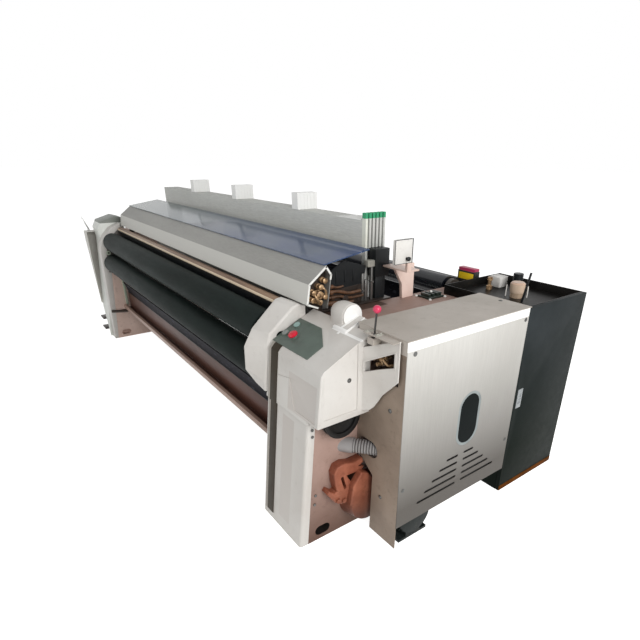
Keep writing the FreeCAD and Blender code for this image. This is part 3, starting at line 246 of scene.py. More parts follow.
def enamel(name, main, shade, grime, roughness=0.42, metallic=0.0, cloud_mm=160.0, grain_mm=2.2,
           bump=0.12, dirt=0.45, stretch=(1.0, 1.0, 1.0), shine=0.5, foot=None):
    """Painted or moulded surface: slow colour clouds, specks of grime and a fine skin.

    Cloud size is a hand's width, grime specks are a few centimetres, and the skin's
    grain is drawn a little coarser than orange peel so that it shows.
    """
    material, tree, shader = new_material(name, Roughness=roughness, Metallic=metallic,
                                          Specular_IOR_Level=shine)
    place = stretched_place(tree, stretch)
    clouds = add(tree, "TexNoise", [("Vector", place, "Vector")], Scale=lumps_of(cloud_mm),
                 Detail=5.0, Roughness=0.55)
    soft = add(tree, "ValToRGB", [("Fac", clouds, "Fac")],
               stops=[(0.32, GREY_0), (0.68, GREY_1)])
    base = add(tree, "Mix", [(0, soft, "Color")],
               [(6, colour(main)), (7, colour(shade))], data_type="RGBA")
    specks = add(tree, "TexNoise", [("Vector", place, "Vector")], Scale=lumps_of(34.0),
                 Detail=8.0, Roughness=0.7)
    dirty = dirtied(tree, base, 2, specks, grime, 0.56, 0.78, dirt)
    last, output = fading(tree, dirty, 2, foot)
    tree.links.new(last.outputs[output], shader.inputs["Base Color"])
    skin = add(tree, "TexNoise", [("Vector", place, "Vector")], Scale=lumps_of(grain_mm),
               Detail=2.0, Roughness=0.55)
    worn_surface(tree, shader, specks, roughness, (0.08, 0.14), skin, bump, 0.4)
    return material


def brushed(name, light, dark, grain, grain_mm=1.4, roughness=0.34, cloud_mm=420.0,
            metallic=0.85, cloud_stretch=(1.0, 1.0, 0.45), foot=None, streak=0.8):
    """Brushed sheet: long fine streaks along one axis over slow cloudy tarnish."""
    material, tree, shader = new_material(name, Metallic=metallic, Roughness=roughness)
    clouds = add(tree, "TexNoise", [("Vector", stretched_place(tree, cloud_stretch), "Vector")],
                 Scale=lumps_of(cloud_mm), Detail=6.0, Roughness=0.6)
    soft = add(tree, "ValToRGB", [("Fac", clouds, "Fac")],
               stops=[(0.3, colour(light)), (0.72, colour(dark))])
    tone, output = fading(tree, soft, "Color", foot)
    streaks = add(tree, "TexNoise", [("Vector", stretched_place(tree, grain), "Vector")],
                  Scale=lumps_of(grain_mm), Detail=3.0, Roughness=0.6)
    line = add(tree, "ValToRGB", [("Fac", streaks, "Fac")],
               stops=[(0.35, grey(0.72)), (0.65, GREY_1)])
    base = add(tree, "Mix", [(6, tone, output), (7, line, "Color")], [(0, streak)],
               data_type="RGBA", blend_type="MULTIPLY")
    tree.links.new(base.outputs[2], shader.inputs["Base Color"])
    worn_surface(tree, shader, streaks, roughness, (0.1, 0.18), streaks, 0.18, 0.2)
    return material


def rolled(name, light, dark, metallic):
    """Rolled aluminium: dull sheet with streaks and tarnish that run along the loom."""
    return brushed(name, light, dark, (0.03, 1.0, 1.0), roughness=0.5, metallic=metallic,
                   cloud_stretch=(0.3, 1.0, 1.0))


def banded(name, bands, roughness=0.4):
    """One moulding in several colours by height: bands are (height in mm, hex colour)."""
    material, tree, shader = new_material(name, Roughness=roughness, Metallic=0.0)
    low = bands[0][0]
    high = bands[-1][0] + 1.0
    height = add(tree, "MapRange", [("Value", axes_of(tree), "Z")],
                 From_Min=low * MM, From_Max=high * MM)
    steps = add(tree, "ValToRGB", [("Fac", height, "Result")],
                stops=[((z - low) / (high - low), colour(value)) for z, value in bands])
    steps.color_ramp.interpolation = "CONSTANT"
    specks = add(tree, "TexNoise", [("Vector", stretched_place(tree), "Vector")],
                 Scale=lumps_of(18.0), Detail=7.0, Roughness=0.7)
    dirty = dirtied(tree, steps, "Color", specks, "#4A453E", 0.55, 0.8, 0.5)
    tree.links.new(dirty.outputs[2], shader.inputs["Base Color"])
    return material


def ribbed(name, light, dark):
    """Conduit with painted shade in its grooves: rings RIB_PITCH apart past the cuff, along the hose."""
    material, tree, shader = new_material(name, Roughness=0.42, Specular_IOR_Level=0.3)
    turn = math.radians(HOSE_TURN)
    coordinates = add(tree, "TexCoord")
    place = add(tree, "VectorMath", [(0, coordinates, "Object")],
                [(1, at(*HOSE_START))], operation="SUBTRACT")
    along = add(tree, "VectorMath", [(0, place, 0)],
                [(1, (math.cos(turn), math.sin(turn), 0.0))], operation="DOT_PRODUCT")
    shifted = add(tree, "Math", [(0, along, "Value")],
                  [(1, (CUFF_LENGTH + 0.4 * RIB_PITCH) * MM)], operation="SUBTRACT")
    wave = add(tree, "Math", [(0, shifted, 0)], [(1, 0.5 * RIB_PITCH * MM)], operation="PINGPONG")
    past_cuff = add(tree, "Math", [(0, shifted, 0)], [(1, 0.0)], operation="GREATER_THAN")
    grooves = add(tree, "Math", [(0, wave, 0), (1, past_cuff, 0)], operation="MULTIPLY")
    share = add(tree, "Math", [(0, grooves, 0)], [(1, 2.0 / (RIB_PITCH * MM))],
                operation="MULTIPLY")
    tone = add(tree, "ValToRGB", [("Fac", share, "Value")],
               stops=[(0.5, colour(light)), (0.9, colour(dark))])
    tree.links.new(tone.outputs["Color"], shader.inputs["Base Color"])
    return material


def window_glass(name, left, right, alpha):
    """Tinted clear sheet, greyer at its left end, that lets part of what is behind through."""
    material, tree, shader = new_material(name, Roughness=0.12, Alpha=alpha, IOR=1.49,
                                          Specular_IOR_Level=0.2)
    place = stretched_place(tree, (0.5, 1.0, 1.0))
    haze = add(tree, "TexNoise", [("Vector", place, "Vector")], Scale=lumps_of(240.0),
               Detail=5.0, Roughness=0.55)
    split = add(tree, "SeparateXYZ", [("Vector", place, "Vector")])
    along = add(tree, "MapRange", [("Value", split, "X")], From_Min=-0.8,
                From_Max=0.72, To_Min=-0.2, To_Max=0.8)
    mixed = add(tree, "Math", [(0, along, "Result"), (1, haze, "Fac")],
                [(2, 0.25)], operation="MULTIPLY_ADD")
    tone = add(tree, "ValToRGB", [("Fac", mixed, "Value")],
               stops=[(0.2, colour(left)), (0.7, colour(right))])
    tree.links.new(tone.outputs["Color"], shader.inputs["Base Color"])
    return material


MATERIALS = {}


def cast_enamel(name, main, shade, grime, foot=None):
    """Matt enamel on cast iron: a coarse skin under slow clouds, darker towards the floor where a foot is
    given.
    """
    return enamel(name, main, shade, grime, 0.55, cloud_mm=220.0, dirt=0.6, bump=0.3,
                  grain_mm=3.0, shine=0.3, foot=foot)


def moulded(name, main, shade):
    """Moulded plastic cover: nearly even and satin, with faint yellowing."""
    return enamel(name, main, shade, "#8A8074", 0.38, cloud_mm=300.0, dirt=0.2, bump=0.08,
                  shine=0.35)


def make_frame_finishes(m):
    # Dusty pink enamel on rough castings, darker towards the floor, and a lighter copy of the same paint
    # with painted light on the left frame.
    m["pink_paint"] = cast_enamel(
        "matt_enamel_on_cast_iron", "#AB8F84", "#967C71", "#5A4035", (20.0, 330.0, "#5E4438"))
    m["lit_pink_paint"] = cast_enamel("matt_enamel_with_painted_light", "#DCC4B8", "#C6ACA0", "#6E5044")
    m["bracket_paint"] = enamel(
        "pale_pink_enamel", "#F4DDD1", "#E8CCBF", "#8E7166", 0.45, cloud_mm=120.0, dirt=0.3,
        bump=0.1)
    # Bare castings: oil has turned them grey brown and half shiny.
    m["bearing_casting"] = enamel(
        "oiled_grey_casting", "#55504B", "#3F3A36", "#241F1B", 0.5, metallic=0.3, dirt=0.6,
        bump=0.35, grain_mm=3.0)
    m["pale_casting"] = enamel(
        "pale_grey_casting", "#B8B6AC", "#A09E94", "#5E5A50", 0.5, cloud_mm=50.0, dirt=0.5)
    m["casting_paint"] = enamel(
        "orange_brown_casting_enamel_with_painted_shade", "#A9674E", "#7C4330", "#341A10", 0.5, dirt=0.65, bump=0.45,
        grain_mm=3.5, cloud_mm=90.0, shine=0.3, foot=(70.0, 300.0, "#4A281A"))
    # Long bars: the wear is drawn out along them by wiping and running water.
    m["guide_bar_paint"] = enamel(
        "worn_cream_enamel", "#9A7F68", "#6E5545", "#2E2019", 0.42, cloud_mm=60.0, dirt=0.8,
        stretch=(0.08, 1.0, 1.0), shine=0.3)
    m["rail_paint"] = enamel(
        "oily_enamel_on_rail", "#B59A8C", "#8E7468", "#4A3830", 0.45, dirt=0.7,
        stretch=(0.15, 1.0, 1.0))
    m["brown_paint"] = enamel(
        "oily_brown_enamel", "#5A3A30", "#40281F", "#241713", 0.42, dirt=0.6,
        stretch=(0.2, 1.0, 1.0), shine=0.35)
    m["pale_green_paint"] = enamel(
        "pale_green_paint", "#AEB8A6", "#97A28F", "#5A6054", 0.4, stretch=(0.1, 1.0, 1.0),
        dirt=0.5)


def make_roller_finishes(m):
    # Ground rubber takes hardly any shine; the backrest's steel is polished dark by the yarn.
    m["roller_rubber"] = enamel(
        "ground_roller_rubber", "#1C2422", "#141A18", "#313836", 0.6, cloud_mm=90.0, dirt=0.35,
        stretch=(0.25, 1.0, 1.0), bump=0.1, shine=0.08)
    m["polished_roller"] = enamel(
        "polished_dark_roller", "#171A22", "#0F1117", "#565F58", 0.2, cloud_mm=120.0, dirt=0.4,
        stretch=(0.1, 1.0, 1.0), bump=0.02)
    # Navy sheet, speckled by spray and lint, with and without its pale hem.
    m["navy_sheet"] = enamel(
        "speckled_navy_sheet", "#12131C", "#0C0C12", "#6E7380", 0.5, cloud_mm=120.0, dirt=0.7,
        stretch=(0.4, 1.0, 1.0), shine=0.05)
    m["hemmed_navy_sheet"] = repainted("navy_sheet", "navy_sheet_with_pale_hem",
                                       ((-3600, 1010, 918), (-615, 1020, 952), "#9DA797"))


def make_metal_finishes(m):
    # Aluminium and steel, rolled or machined: dull, with fine lines along the loom.
    m["guard_aluminium"] = rolled("dull_rolled_aluminium", "#A9A8A3", "#8A8985", 0.15)
    m["stave_aluminium"] = rolled("anodised_stave_aluminium", "#E2E3DE", "#CBCCC7", 0.1)
    m["machined_steel"] = brushed(
        "machined_steel", "#9A9A98", "#66635F", (0.05, 1.0, 1.0), roughness=0.3)
    m["sley_aluminium"] = brushed(
        "machined_sley_aluminium", "#8C8983", "#5F5C57", (0.05, 1.0, 1.0), roughness=0.4,
        metallic=0.6)
    # Stainless side panel: upright brush lines, darker towards the floor, with a painted highlight in a
    # pale band along its top, where the sheet folds over.
    m["brushed_panel"] = repaint(
        brushed("brushed_stainless_sheet", "#CBC9C4", "#BDBAB4", (1.0, 1.0, 0.02), grain_mm=2.2,
                roughness=0.42, cloud_mm=380.0, metallic=0.1, foot=(235.0, 950.0, "#453F38"),
                streak=0.4),
        ((-3.5, -5, 966), (1, 745, 1010), "#F6F5F2"))
    # Plated and turned fittings, dulled by oil.
    m["handle_chrome"] = enamel(
        "worn_chrome", "#94989A", "#7C8082", "#4A4C4C", 0.25, metallic=0.6, dirt=0.4, bump=0.0)
    m["lever_steel"] = enamel(
        "plated_lever_rod", "#A8A8A6", "#8E8E8C", "#5A5A56", 0.3, metallic=0.9, dirt=0.4, bump=0.0)
    m["screw_steel"] = enamel(
        "plated_screw_head", "#6E6E6C", "#545452", "#2E2C2A", 0.35, metallic=0.9, dirt=0.5,
        bump=0.0)
    m["pulley_steel"] = enamel(
        "dark_turned_steel", "#1C1B1A", "#131211", "#38332F", 0.4, metallic=0.2, dirt=0.5,
        shine=0.2)
    m["dark_steel"] = enamel(
        "oily_dark_steel", "#3E342E", "#2A231F", "#171310", 0.4, metallic=0.4, cloud_mm=60.0,
        dirt=0.6, bump=0.1)
    m["brass"] = enamel(
        "oiled_brass", "#D8B488", "#4E321C", "#1A110A", 0.3, metallic=0.4, cloud_mm=13.0, dirt=0.6,
        bump=0.0)
    m["oily_pipe"] = enamel(
        "oily_brown_pipe", "#6A4A34", "#3E2A1C", "#1C120B", 0.35, cloud_mm=30.0, dirt=0.6,
        shine=0.4)


def make_cover_finishes(m):
    # Moulded covers, and satin enamel on the sheet covers beside them, each with a lighter copy with
    # painted light for the covers on the left.
    m["cover_plastic"] = moulded("moulded_grey_white_plastic", "#D2CFCA", "#C7C2BC")
    m["lit_cover_plastic"] = moulded("left_post_cover_with_painted_light", "#E6E8E2", "#D6D9D2")
    m["side_cover_paint"] = enamel(
        "satin_grey_enamel", "#B7AFA6", "#A69E94", "#6B6259", 0.42, cloud_mm=260.0, dirt=0.3,
        bump=0.08, shine=0.35)
    m["lit_side_cover"] = enamel(
        "side_cover_with_painted_light", "#DAD8D1", "#CCC9C1", "#8A8074", 0.4, cloud_mm=260.0, dirt=0.3,
        bump=0.08, shine=0.35)
    m["guard_plate_paint"] = enamel(
        "satin_taupe_enamel", "#978778", "#7D6E61", "#4A3D33", 0.48, cloud_mm=200.0, dirt=0.4,
        bump=0.08, shine=0.3)
    m["stripe_paint"] = enamel(
        "brown_grey_trim_enamel", "#3C352B", "#332D24", "#2A2721", 0.5, cloud_mm=140.0, dirt=0.25,
        bump=0.04, shine=0.1)
    # Clear and smoked sheet, and the rubber bead around the window.
    m["splash_glass"] = window_glass("tinted_acrylic_sheet", "#75827F", "#1F437C", 0.76)
    m["window_pane"] = enamel(
        "smoked_pane_in_black_rim", "#081010", "#050B0B", "#141C1A", 0.3, cloud_mm=90.0, dirt=0.2,
        bump=0.0, shine=0.03)
    m["bead_grey"] = enamel(
        "grey_rubber_bead", "#949B9B", "#7F8686", "#4C5252", 0.5, cloud_mm=60.0, dirt=0.3,
        shine=0.2)
    # Cabinet: dark satin enamel that is almost black near the floor, on a rusty plinth.
    m["cabinet_paint"] = enamel(
        "satin_black_green_enamel", "#34383A", "#1E2323", "#3E423F", 0.42, cloud_mm=380.0,
        dirt=0.3, bump=0.05, shine=0.03, foot=(260.0, 930.0, "#0B130E"))
    m["tray_paint"] = enamel(
        "black_enamel_tray", "#151412", "#0E0D0C", "#33281F", 0.3, dirt=0.4, bump=0.03, shine=0.12)
    m["plinth_brown"] = enamel(
        "rusty_brown_plinth", "#6A3C14", "#4E2C0C", "#2C1909", 0.6, cloud_mm=120.0, dirt=0.6,
        shine=0.02)
    m["motor_paint"] = enamel(
        "dark_motor_enamel", "#1E2322", "#141817", "#5A5A54", 0.45, dirt=0.5, shine=0.1)


def make_fitting_finishes(m):
    # Control plate and its glossy buttons.
    m["control_paint"] = enamel(
        "olive_grey_satin_enamel", "#5C6860", "#505A53", "#363C37", 0.4, cloud_mm=120.0, dirt=0.3,
        shine=0.3)
    m["stop_red"] = enamel(
        "red_button_moulding", "#D0122F", "#BC0F2A", "#7A0C1E", 0.25, dirt=0.2, bump=0.0,
        shine=0.4)
    m["button_teal"] = enamel(
        "teal_button_moulding", "#93B0AA", "#82A09A", "#50645F", 0.3, dirt=0.2, bump=0.0)
    m["button_grey"] = enamel(
        "grey_button_moulding", "#8A908C", "#7C827E", "#585C58", 0.3, dirt=0.2, bump=0.0)
    # Small mouldings and painted sheets.
    m["board_white"] = enamel("white_board_sheet", "#ECEAE6", "#DAD7D1", "#8A847A", 0.4, dirt=0.3)
    m["white_edge"] = enamel(
        "white_edge_enamel", "#F0F0EC", "#E2E1DC", "#9A968E", 0.4, cloud_mm=60.0, dirt=0.35,
        bump=0.03)
    m["black_moulding"] = enamel(
        "black_moulded_plastic", "#1B1E20", "#111416", "#34342F", 0.36, cloud_mm=90.0, dirt=0.3,
        bump=0.03, shine=0.3)
    m["dark_green_moulding"] = enamel(
        "dark_green_moulding", "#232F28", "#17201B", "#4C4A42", 0.35, cloud_mm=60.0, dirt=0.4,
        bump=0.03)
    # Mouldings in several colours, and the conduit with its dark grooves.
    m["drum_plastic"] = banded(
        "ivory_drum_moulding", [(955, "#B9A189"), (980, "#DCC3AB"), (1024, "#CFAF98")], 0.3)
    m["lever_rod"] = banded(
        "black_rod_with_crimson_ball", [(960, "#232120"), (1080, "#D02E58")], 0.3)
    m["relay_housing"] = banded(
        "relay_housing_with_black_ends",
        [(950, "#2A2A28"), (980, "#E8C520"), (1016, "#2A2A28"), (1026, "#B02A55")], 0.35)
    m["hose_plastic"] = ribbed("grey_conduit_with_painted_groove_shade", "#918E8D", "#3A3634")


def make_materials():
    """One material for each finish on the loom, under the record's slot names."""
    for make in (make_frame_finishes, make_roller_finishes, make_metal_finishes,
                 make_cover_finishes, make_fitting_finishes):
        make(MATERIALS)


# ------------------------------------------------------------------- meshes
def finish_piece(name, bm, slot, body, material=None, replaces=()):
    """Turn a bmesh into a piece on the loom: smooth by angle, finished, riding on its body."""
    bmesh.ops.recalc_face_normals(bm, faces=bm.faces)
    mesh = bpy.data.meshes.new(name)
    limit = math.radians(SMOOTH_ANGLE)
    for face in bm.faces:
        face.smooth = True
    for edge in bm.edges:
        edge.smooth = len(edge.link_faces) == 2 and edge.calc_face_angle(0.0) < limit
    bm.to_mesh(mesh)
    bm.free()
    piece = bpy.data.objects.new(name, mesh)
    bpy.context.scene.collection.objects.link(piece)
    mesh.materials.append(material or MATERIALS[slot])
    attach(piece, body)
    if replaces:
        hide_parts(*replaces)


@contextmanager
def new_piece(name, slot, finish=None):
    """A bmesh to fill, which becomes a fixed piece in its slot's finish or another one."""
    bm = bmesh.new()
    yield bm
    finish_piece(name, bm, slot, "frame", MATERIALS[finish or slot])


def node_slot(node):
    for entry in frame["record"]["subparts"]:
        if entry["node"] == node:
            return entry["material_slot"]
    raise ValueError(node)


def node_bmesh(node):
    """The node's solid as a clean bmesh: doubles merged, flat faces joined."""
    bm = bmesh.new()
    bm.from_mesh(frame["nodes"][node].data)
    bmesh.ops.remove_doubles(bm, verts=bm.verts, dist=0.02 * MM)
    bmesh.ops.dissolve_limit(bm, angle_limit=math.radians(0.6), verts=bm.verts, edges=bm.edges)
    return bm


def soften_edges(bm, edges, radius_mm, segments=2):
    bmesh.ops.bevel(bm, geom=edges, offset=radius_mm * MM, offset_type="OFFSET",
                    segments=segments, profile=0.5, affect="EDGES", clamp_overlap=True,
                    material=-1)


def softened(node, radius_mm, segments=2, material=None):
    """Stand-in for a node with its sharp edges rounded by radius_mm."""
    bm = node_bmesh(node)
    limit = math.radians(SHARP_ANGLE)
    edges = [edge for edge in bm.edges
             if len(edge.link_faces) == 2 and edge.calc_face_angle(0.0) > limit
             and edge.calc_length() > 2.0 * radius_mm * MM]
    soften_edges(bm, edges, radius_mm, segments)
    body = frame["nodes"][node]["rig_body"]
    finish_piece(node + "_skin", bm, node_slot(node), body, material, replaces=(node,))


def dress(node):
    """Keep the node's own solid and give it its finish."""
    piece = frame["nodes"][node]
    piece.data.materials.clear()
    piece.data.materials.append(MATERIALS[node_slot(node)])
    for polygon in piece.data.polygons:
        polygon.use_smooth = False


def add_box(bm, x, y, z, round_mm=1.0):
    """Box between panel-frame millimetres x, y and z (pairs), its edges rounded."""
    low = at(x[0], y[0], z[0])
    high = at(x[1], y[1], z[1])
    spread = Matrix.Translation((low + high) / 2) @ Matrix.Diagonal((*(high - low), 1.0))
    made = bmesh.ops.create_cube(bm, size=1.0, matrix=spread)
    edges = list({edge for vert in made["verts"] for edge in vert.link_edges})
    soften_edges(bm, edges, round_mm)


def add_turned(bm, start, end, outline, steps=24):
    """Turned form from start to end: outline is (share of the way, radius in mm)."""
    axis = end - start
    side = axis.orthogonal().normalized()
    verts = [bm.verts.new(start + axis * t + side * radius * MM) for t, radius in outline]
    edges = [bm.edges.new(pair) for pair in zip(verts, verts[1:])]
    bmesh.ops.spin(bm, geom=verts + edges, cent=start, axis=axis.normalized(),
                   angle=2.0 * math.pi, steps=steps, use_merge=True)
    bmesh.ops.remove_doubles(bm, verts=bm.verts, dist=0.01 * MM)


def add_rod(bm, start, end, radius_mm, nose_mm=0.6, steps=16):
    """Round rod with chamfered ends."""
    length = (end - start).length / MM
    nose = nose_mm / length
    add_turned(bm, start, end, [(0.0, 0.0), (0.0, radius_mm - nose_mm), (nose, radius_mm),
                                (1.0 - nose, radius_mm), (1.0, radius_mm - nose_mm), (1.0, 0.0)],
               steps)


def add_prism(bm, outline, x0, x1, round_mm=1.0):
    """Plate across X with an outline of (y, z) in panel-frame millimetres."""
    corners = [bm.verts.new(at(x0, y, z)) for y, z in outline]
    face = bm.faces.new(corners)
    pushed = bmesh.ops.extrude_face_region(bm, geom=[face])
    moved = [part for part in pushed["geom"] if isinstance(part, bmesh.types.BMVert)]
    bmesh.ops.translate(bm, verts=moved, vec=((x1 - x0) * MM, 0.0, 0.0))
    edges = list({edge for vert in corners + moved for edge in vert.link_edges})
    soften_edges(bm, edges, round_mm, 1)


def add_ring(bm, x, centre, size, width, height, steps=12):
    """Flat bead standing on the plane X = x around an upright slot of size (width, height)."""
    cy, cz = centre
    half = size[0] / 2
    rise = size[1] / 2 - half
    rings = []
    for out, lift in ((0.0, 0.0), (0.6, height), (width - 0.6, height), (width, 0.0)):
        ring = []
        for side in (1, -1):
            for step in range(steps + 1):
                angle = math.pi * step / steps + (0.0 if side > 0 else math.pi)
                ring.append(bm.verts.new(at(x + lift, cy + (half + out) * math.cos(angle),
                                            cz + side * rise + (half + out) * math.sin(angle))))
        rings.append(ring)
    for inner, outer in zip(rings, rings[1:] + rings[:1]):
        for k in range(len(inner)):
            n = (k + 1) % len(inner)
            bm.faces.new((inner[k], inner[n], outer[n], outer[k]))


def add_tube(bm, points, radius_mm, sides=12):
    """Bent tube of one radius along a smooth line through the points."""
    line = []
    for index in range(len(points) - 1):
        before = points[max(index - 1, 0)]
        a, b = points[index], points[index + 1]
        after = points[min(index + 2, len(points) - 1)]
        for step in range(6):
            t = step / 6
            line.append(0.5 * ((2 * a) + (b - before) * t
                               + (2 * before - 5 * a + 4 * b - after) * t * t
                               + (3 * a - before - 3 * b + after) * t ** 3))
    line.append(points[-1])
    across = (line[1] - line[0]).orthogonal().normalized()
    rings = []
    for index, place in enumerate(line):
        ahead = (line[min(index + 1, len(line) - 1)] - line[max(index - 1, 0)]).normalized()
        across = (across - ahead * across.dot(ahead)).normalized()
        other = ahead.cross(across)
        rings.append([bm.verts.new(place + (across * math.cos(2 * math.pi * k / sides)
                                            + other * math.sin(2 * math.pi * k / sides))
                                   * radius_mm * MM) for k in range(sides)])
    for low, high in zip(rings, rings[1:]):
        for k in range(sides):
            n = (k + 1) % sides
            bm.faces.new((low[k], low[n], high[n], high[k]))
    bm.faces.new(rings[0][::-1])
    bm.faces.new(rings[-1])


# Turned outlines: (share of the way, radius in mm)
UNION_NUT = [(0.0, 0.0), (0.0, 13.0), (0.35, 13.0), (0.38, 9.0), (0.62, 9.0), (0.65, 12.0),
             (0.95, 12.0), (1.0, 9.0), (1.0, 0.0)]
NOZZLE = [(0.0, 0.0), (0.0, 19.0), (0.3, 19.0), (0.34, 14.0), (0.6, 14.0), (0.64, 17.0),
          (0.9, 17.0), (1.0, 8.0), (1.0, 0.0)]
PIPE_JOINT = [(0.0, 0.0), (0.0, 9.0), (0.3, 9.0), (0.34, 13.0), (0.6, 13.0), (0.66, 8.0),
              (1.0, 8.0), (1.0, 0.0)]
VALVE = [(0.0, 0.0), (0.0, 16.0), (0.3, 16.0), (0.34, 9.0), (0.7, 9.0), (0.74, 14.0),
         (0.95, 14.0), (1.0, 10.0), (1.0, 0.0)]
COLLAR = [(0.0, 8.0), (0.0, 17.0), (0.15, 18.0), (0.85, 18.0), (1.0, 17.0), (1.0, 9.0),
          (0.6, 8.0), (0.0, 8.0)]
BOARD_KNOB = [(0.0, 0.0), (0.0, 7.0), (0.5, 7.0), (0.6, 10.0), (0.9, 10.0), (1.0, 7.0),
              (1.0, 0.0)]
# Low domed head with a washer rim and a dimple
SCREW_HEAD = [(0.0, 0.0), (0.0, 10.0), (0.2, 10.0), (0.25, 7.0), (0.7, 6.0), (1.0, 3.0),
              (1.0, 1.6), (0.7, 1.2), (0.7, 0.0)]
SCREW_HEIGHT = 4.0


# ---------------------------------------------------------------- settings
class LoomLooks(bpy.types.PropertyGroup):
    edge_radius: FloatProperty(name="Edge radius", description="Rounding of the covers' edges",
                               default=1.5, unit="NONE", min=0.2, max=6.0)
    floor_colour: FloatVectorProperty(name="Floor colour", description="Colour of the floor",
                                      subtype="COLOR", size=3, min=0.0, max=1.0,
                                      default=colour("#F2F2F0")[:3])
    key_power: FloatProperty(name="Key lamp power", description="Power of the main soft lamp",
                             default=150.0, unit="POWER", min=0.0)


class LoomOperator:
    bl_options = {"REGISTER", "UNDO"}

    @property
    def looks(self):
        return bpy.context.scene.loom_looks


class LOOM_OT_side_frames(LoomOperator, bpy.types.Operator):
    """Cast side frames with the plates that carry the front rollers"""
    bl_idname = "loom.side_frames"
    bl_label = "Side frames"

    def execute(self, context):
        # The left frame takes the lighter copy of the pink paint, with painted light.
        softened("left_side_frame", 4.0, material=MATERIALS["lit_pink_paint"])
        # On the right frame, the near-black face in the narrow gap behind the side housing and the dark
        # patch behind the drive casting are painted shade; the third region is a darker patch on the
        # frame's top under the nozzle fittings.
        softened("right_side_frame", 4.0, material=repainted(
            "pink_paint", "cast_iron_with_painted_shade",
            ((-345, -226, 20), (-281.5, 700, 420), "#1C1714"),
            ((-281.5, -96, 285), (-279, 10, 384), "#2A1A14"),
            ((-620, 40, 944), (-545, 390, 952), "#5A463C")))
        for node in ("right_bearing_plate", "left_bearing_plate", "backrest_bearing_left",
                     "backrest_bearing_right"):
            softened(node, 2.0)
        softened("upper_bracket", 2.0, material=MATERIALS["bracket_paint"])
        return {"FINISHED"}


class LOOM_OT_rollers(LoomOperator, bpy.types.Operator):
    """Take-up, press and backrest rollers"""
    bl_idname = "loom.rollers"
    bl_label = "Rollers"

    def execute(self, context):
        for node in ("take_up_roller", "press_roller"):
            softened(node, 3.0)
        softened("backrest_roller", 3.0, material=MATERIALS["polished_roller"])
        return {"FINISHED"}


class LOOM_OT_cross_members(LoomOperator, bpy.types.Operator):
    """Guide bar, lower rail and the two cross beams, with the sheets that hang from them"""
    bl_idname = "loom.cross_members"
    bl_label = "Cross members"

    def execute(self, context):
        for node in ("front_lower_rail", "rear_cross_beam"):
            softened(node, 2.0)
        # The near-black band along the front beam's top, behind the press roller, is painted shade.
        softened("front_cross_beam", 2.0, material=repainted(
            "brown_paint", "oily_brown_front_beam_with_painted_shade",
            ((-3605, -120, 424), (-610, -20, 432), "#0D0A09")))
        softened("guide_bar", 2.0, material=repainted(
            "guide_bar_paint", "worn_cream_guide_bar",
            ((-3605, -112, 970), (-600, -60, 984), "#120F0D"),
            ((-3605, -112, 984), (-600, -104, 997), "#E2CFB4")))
        with new_piece("drip_board", "brown_paint", "navy_sheet") as bm:
            add_prism(bm, [(-113, 429.4), (-108, 429.4), (-145, 534), (-150, 532)], -3560, -640, 0.8)
        with new_piece("guide_bar_skirt", "brown_paint", "black_moulding") as bm:
            add_box(bm, (-3571, -645), (-78, -74), (892, 972.4), 0.8)
        with new_piece("beam_apron", "brown_paint") as bm:
            add_box(bm, BETWEEN_FRAMES, (-148.6, -115.4), (284, 288), 0.8)
        return {"FINISHED"}


class LOOM_OT_splash_guard(LoomOperator, bpy.types.Operator):
    """Folded splash guard, its end brackets and the clear sheet behind it"""
    bl_idname = "loom.splash_guard"
    bl_label = "Splash guard"

    def execute(self, context):
        softened("splash_guard", 1.2, 1, repainted(
            "guard_aluminium", "rolled_aluminium_guard",
            ((-3700, -75, 1010), (-500, -50, 1106), "#C6C5BF")))
        for node in ("guard_bracket_left", "guard_bracket_right"):
            softened(node, 0.8, 1, material=MATERIALS["dark_steel"])
        dress("splash_glass")
        self.make_end_rim([(-68, 1018), (-55, 1107), (37, 1177), (66, 1135), (62, 1112)], 9.0)
        return {"FINISHED"}

    def make_end_rim(self, outline, width):
        """White edging along the open end of the guard and its turned-in lip."""
        with new_piece("guard_end_rim", "guard_aluminium", "white_edge") as bm:
            for (y0, z0), (y1, z1) in zip(outline, outline[1:]):
                along = Vector((0.0, y1 - y0, z1 - z0)).normalized()
                inward = Vector((0.0, along.z, -along.y)) * width
                corners = [(y0, z0), (y1, z1), (y1 + inward.y, z1 + inward.z),
                           (y0 + inward.y, z0 + inward.z)]
                add_prism(bm, corners, GUARD_END, GUARD_END + 3.5, 0.8)
            lip = [(-67, 1017), (-63, 1024), (-6, 999), (-10, 992)]
            add_prism(bm, lip, GUARD_END, GUARD_END + 3.5, 0.8)


class LOOM_OT_heald_frames(LoomOperator, bpy.types.Operator):
    """Heald frames with their spacer blocks and end caps, and the guide combs"""
    bl_idname = "loom.heald_frames"
    bl_label = "Heald frames"

    def execute(self, context):
        for index in range(1, 7):
            front = FIRST_HEALD + HEALD_PITCH * (index - 1)
            rear = front + HEALD_ROOM
            regions = [((-3700, front, 1325.4), (-720, rear, 1420), "#F7F7F4"),
                       ((-720, front, 1334.8), (-600, rear, 1420), "#2F9A6B")]
            if index == 1:
                regions.append(((-708, front, 1185), (-600, rear, 1334.8), "#E6E8DC"))
            softened("heald_frame_%d" % index, 1.0, 1, repainted(
                "stave_aluminium", "stave_finish_%d" % index, *regions))
        for node in ("heald_guide_left", "heald_guide_right"):
            dress(node)
        return {"FINISHED"}


class LOOM_OT_sley(LoomOperator, bpy.types.Operator):
    """Rocking shaft, swords, sley beam and reed"""
    bl_idname = "loom.sley"
    bl_label = "Sley"

    def execute(self, context):
        for node in ("rocking_shaft", "sley_sword_left", "sley_sword_right", "sley_beam", "reed"):
            dress(node)
        return {"FINISHED"}


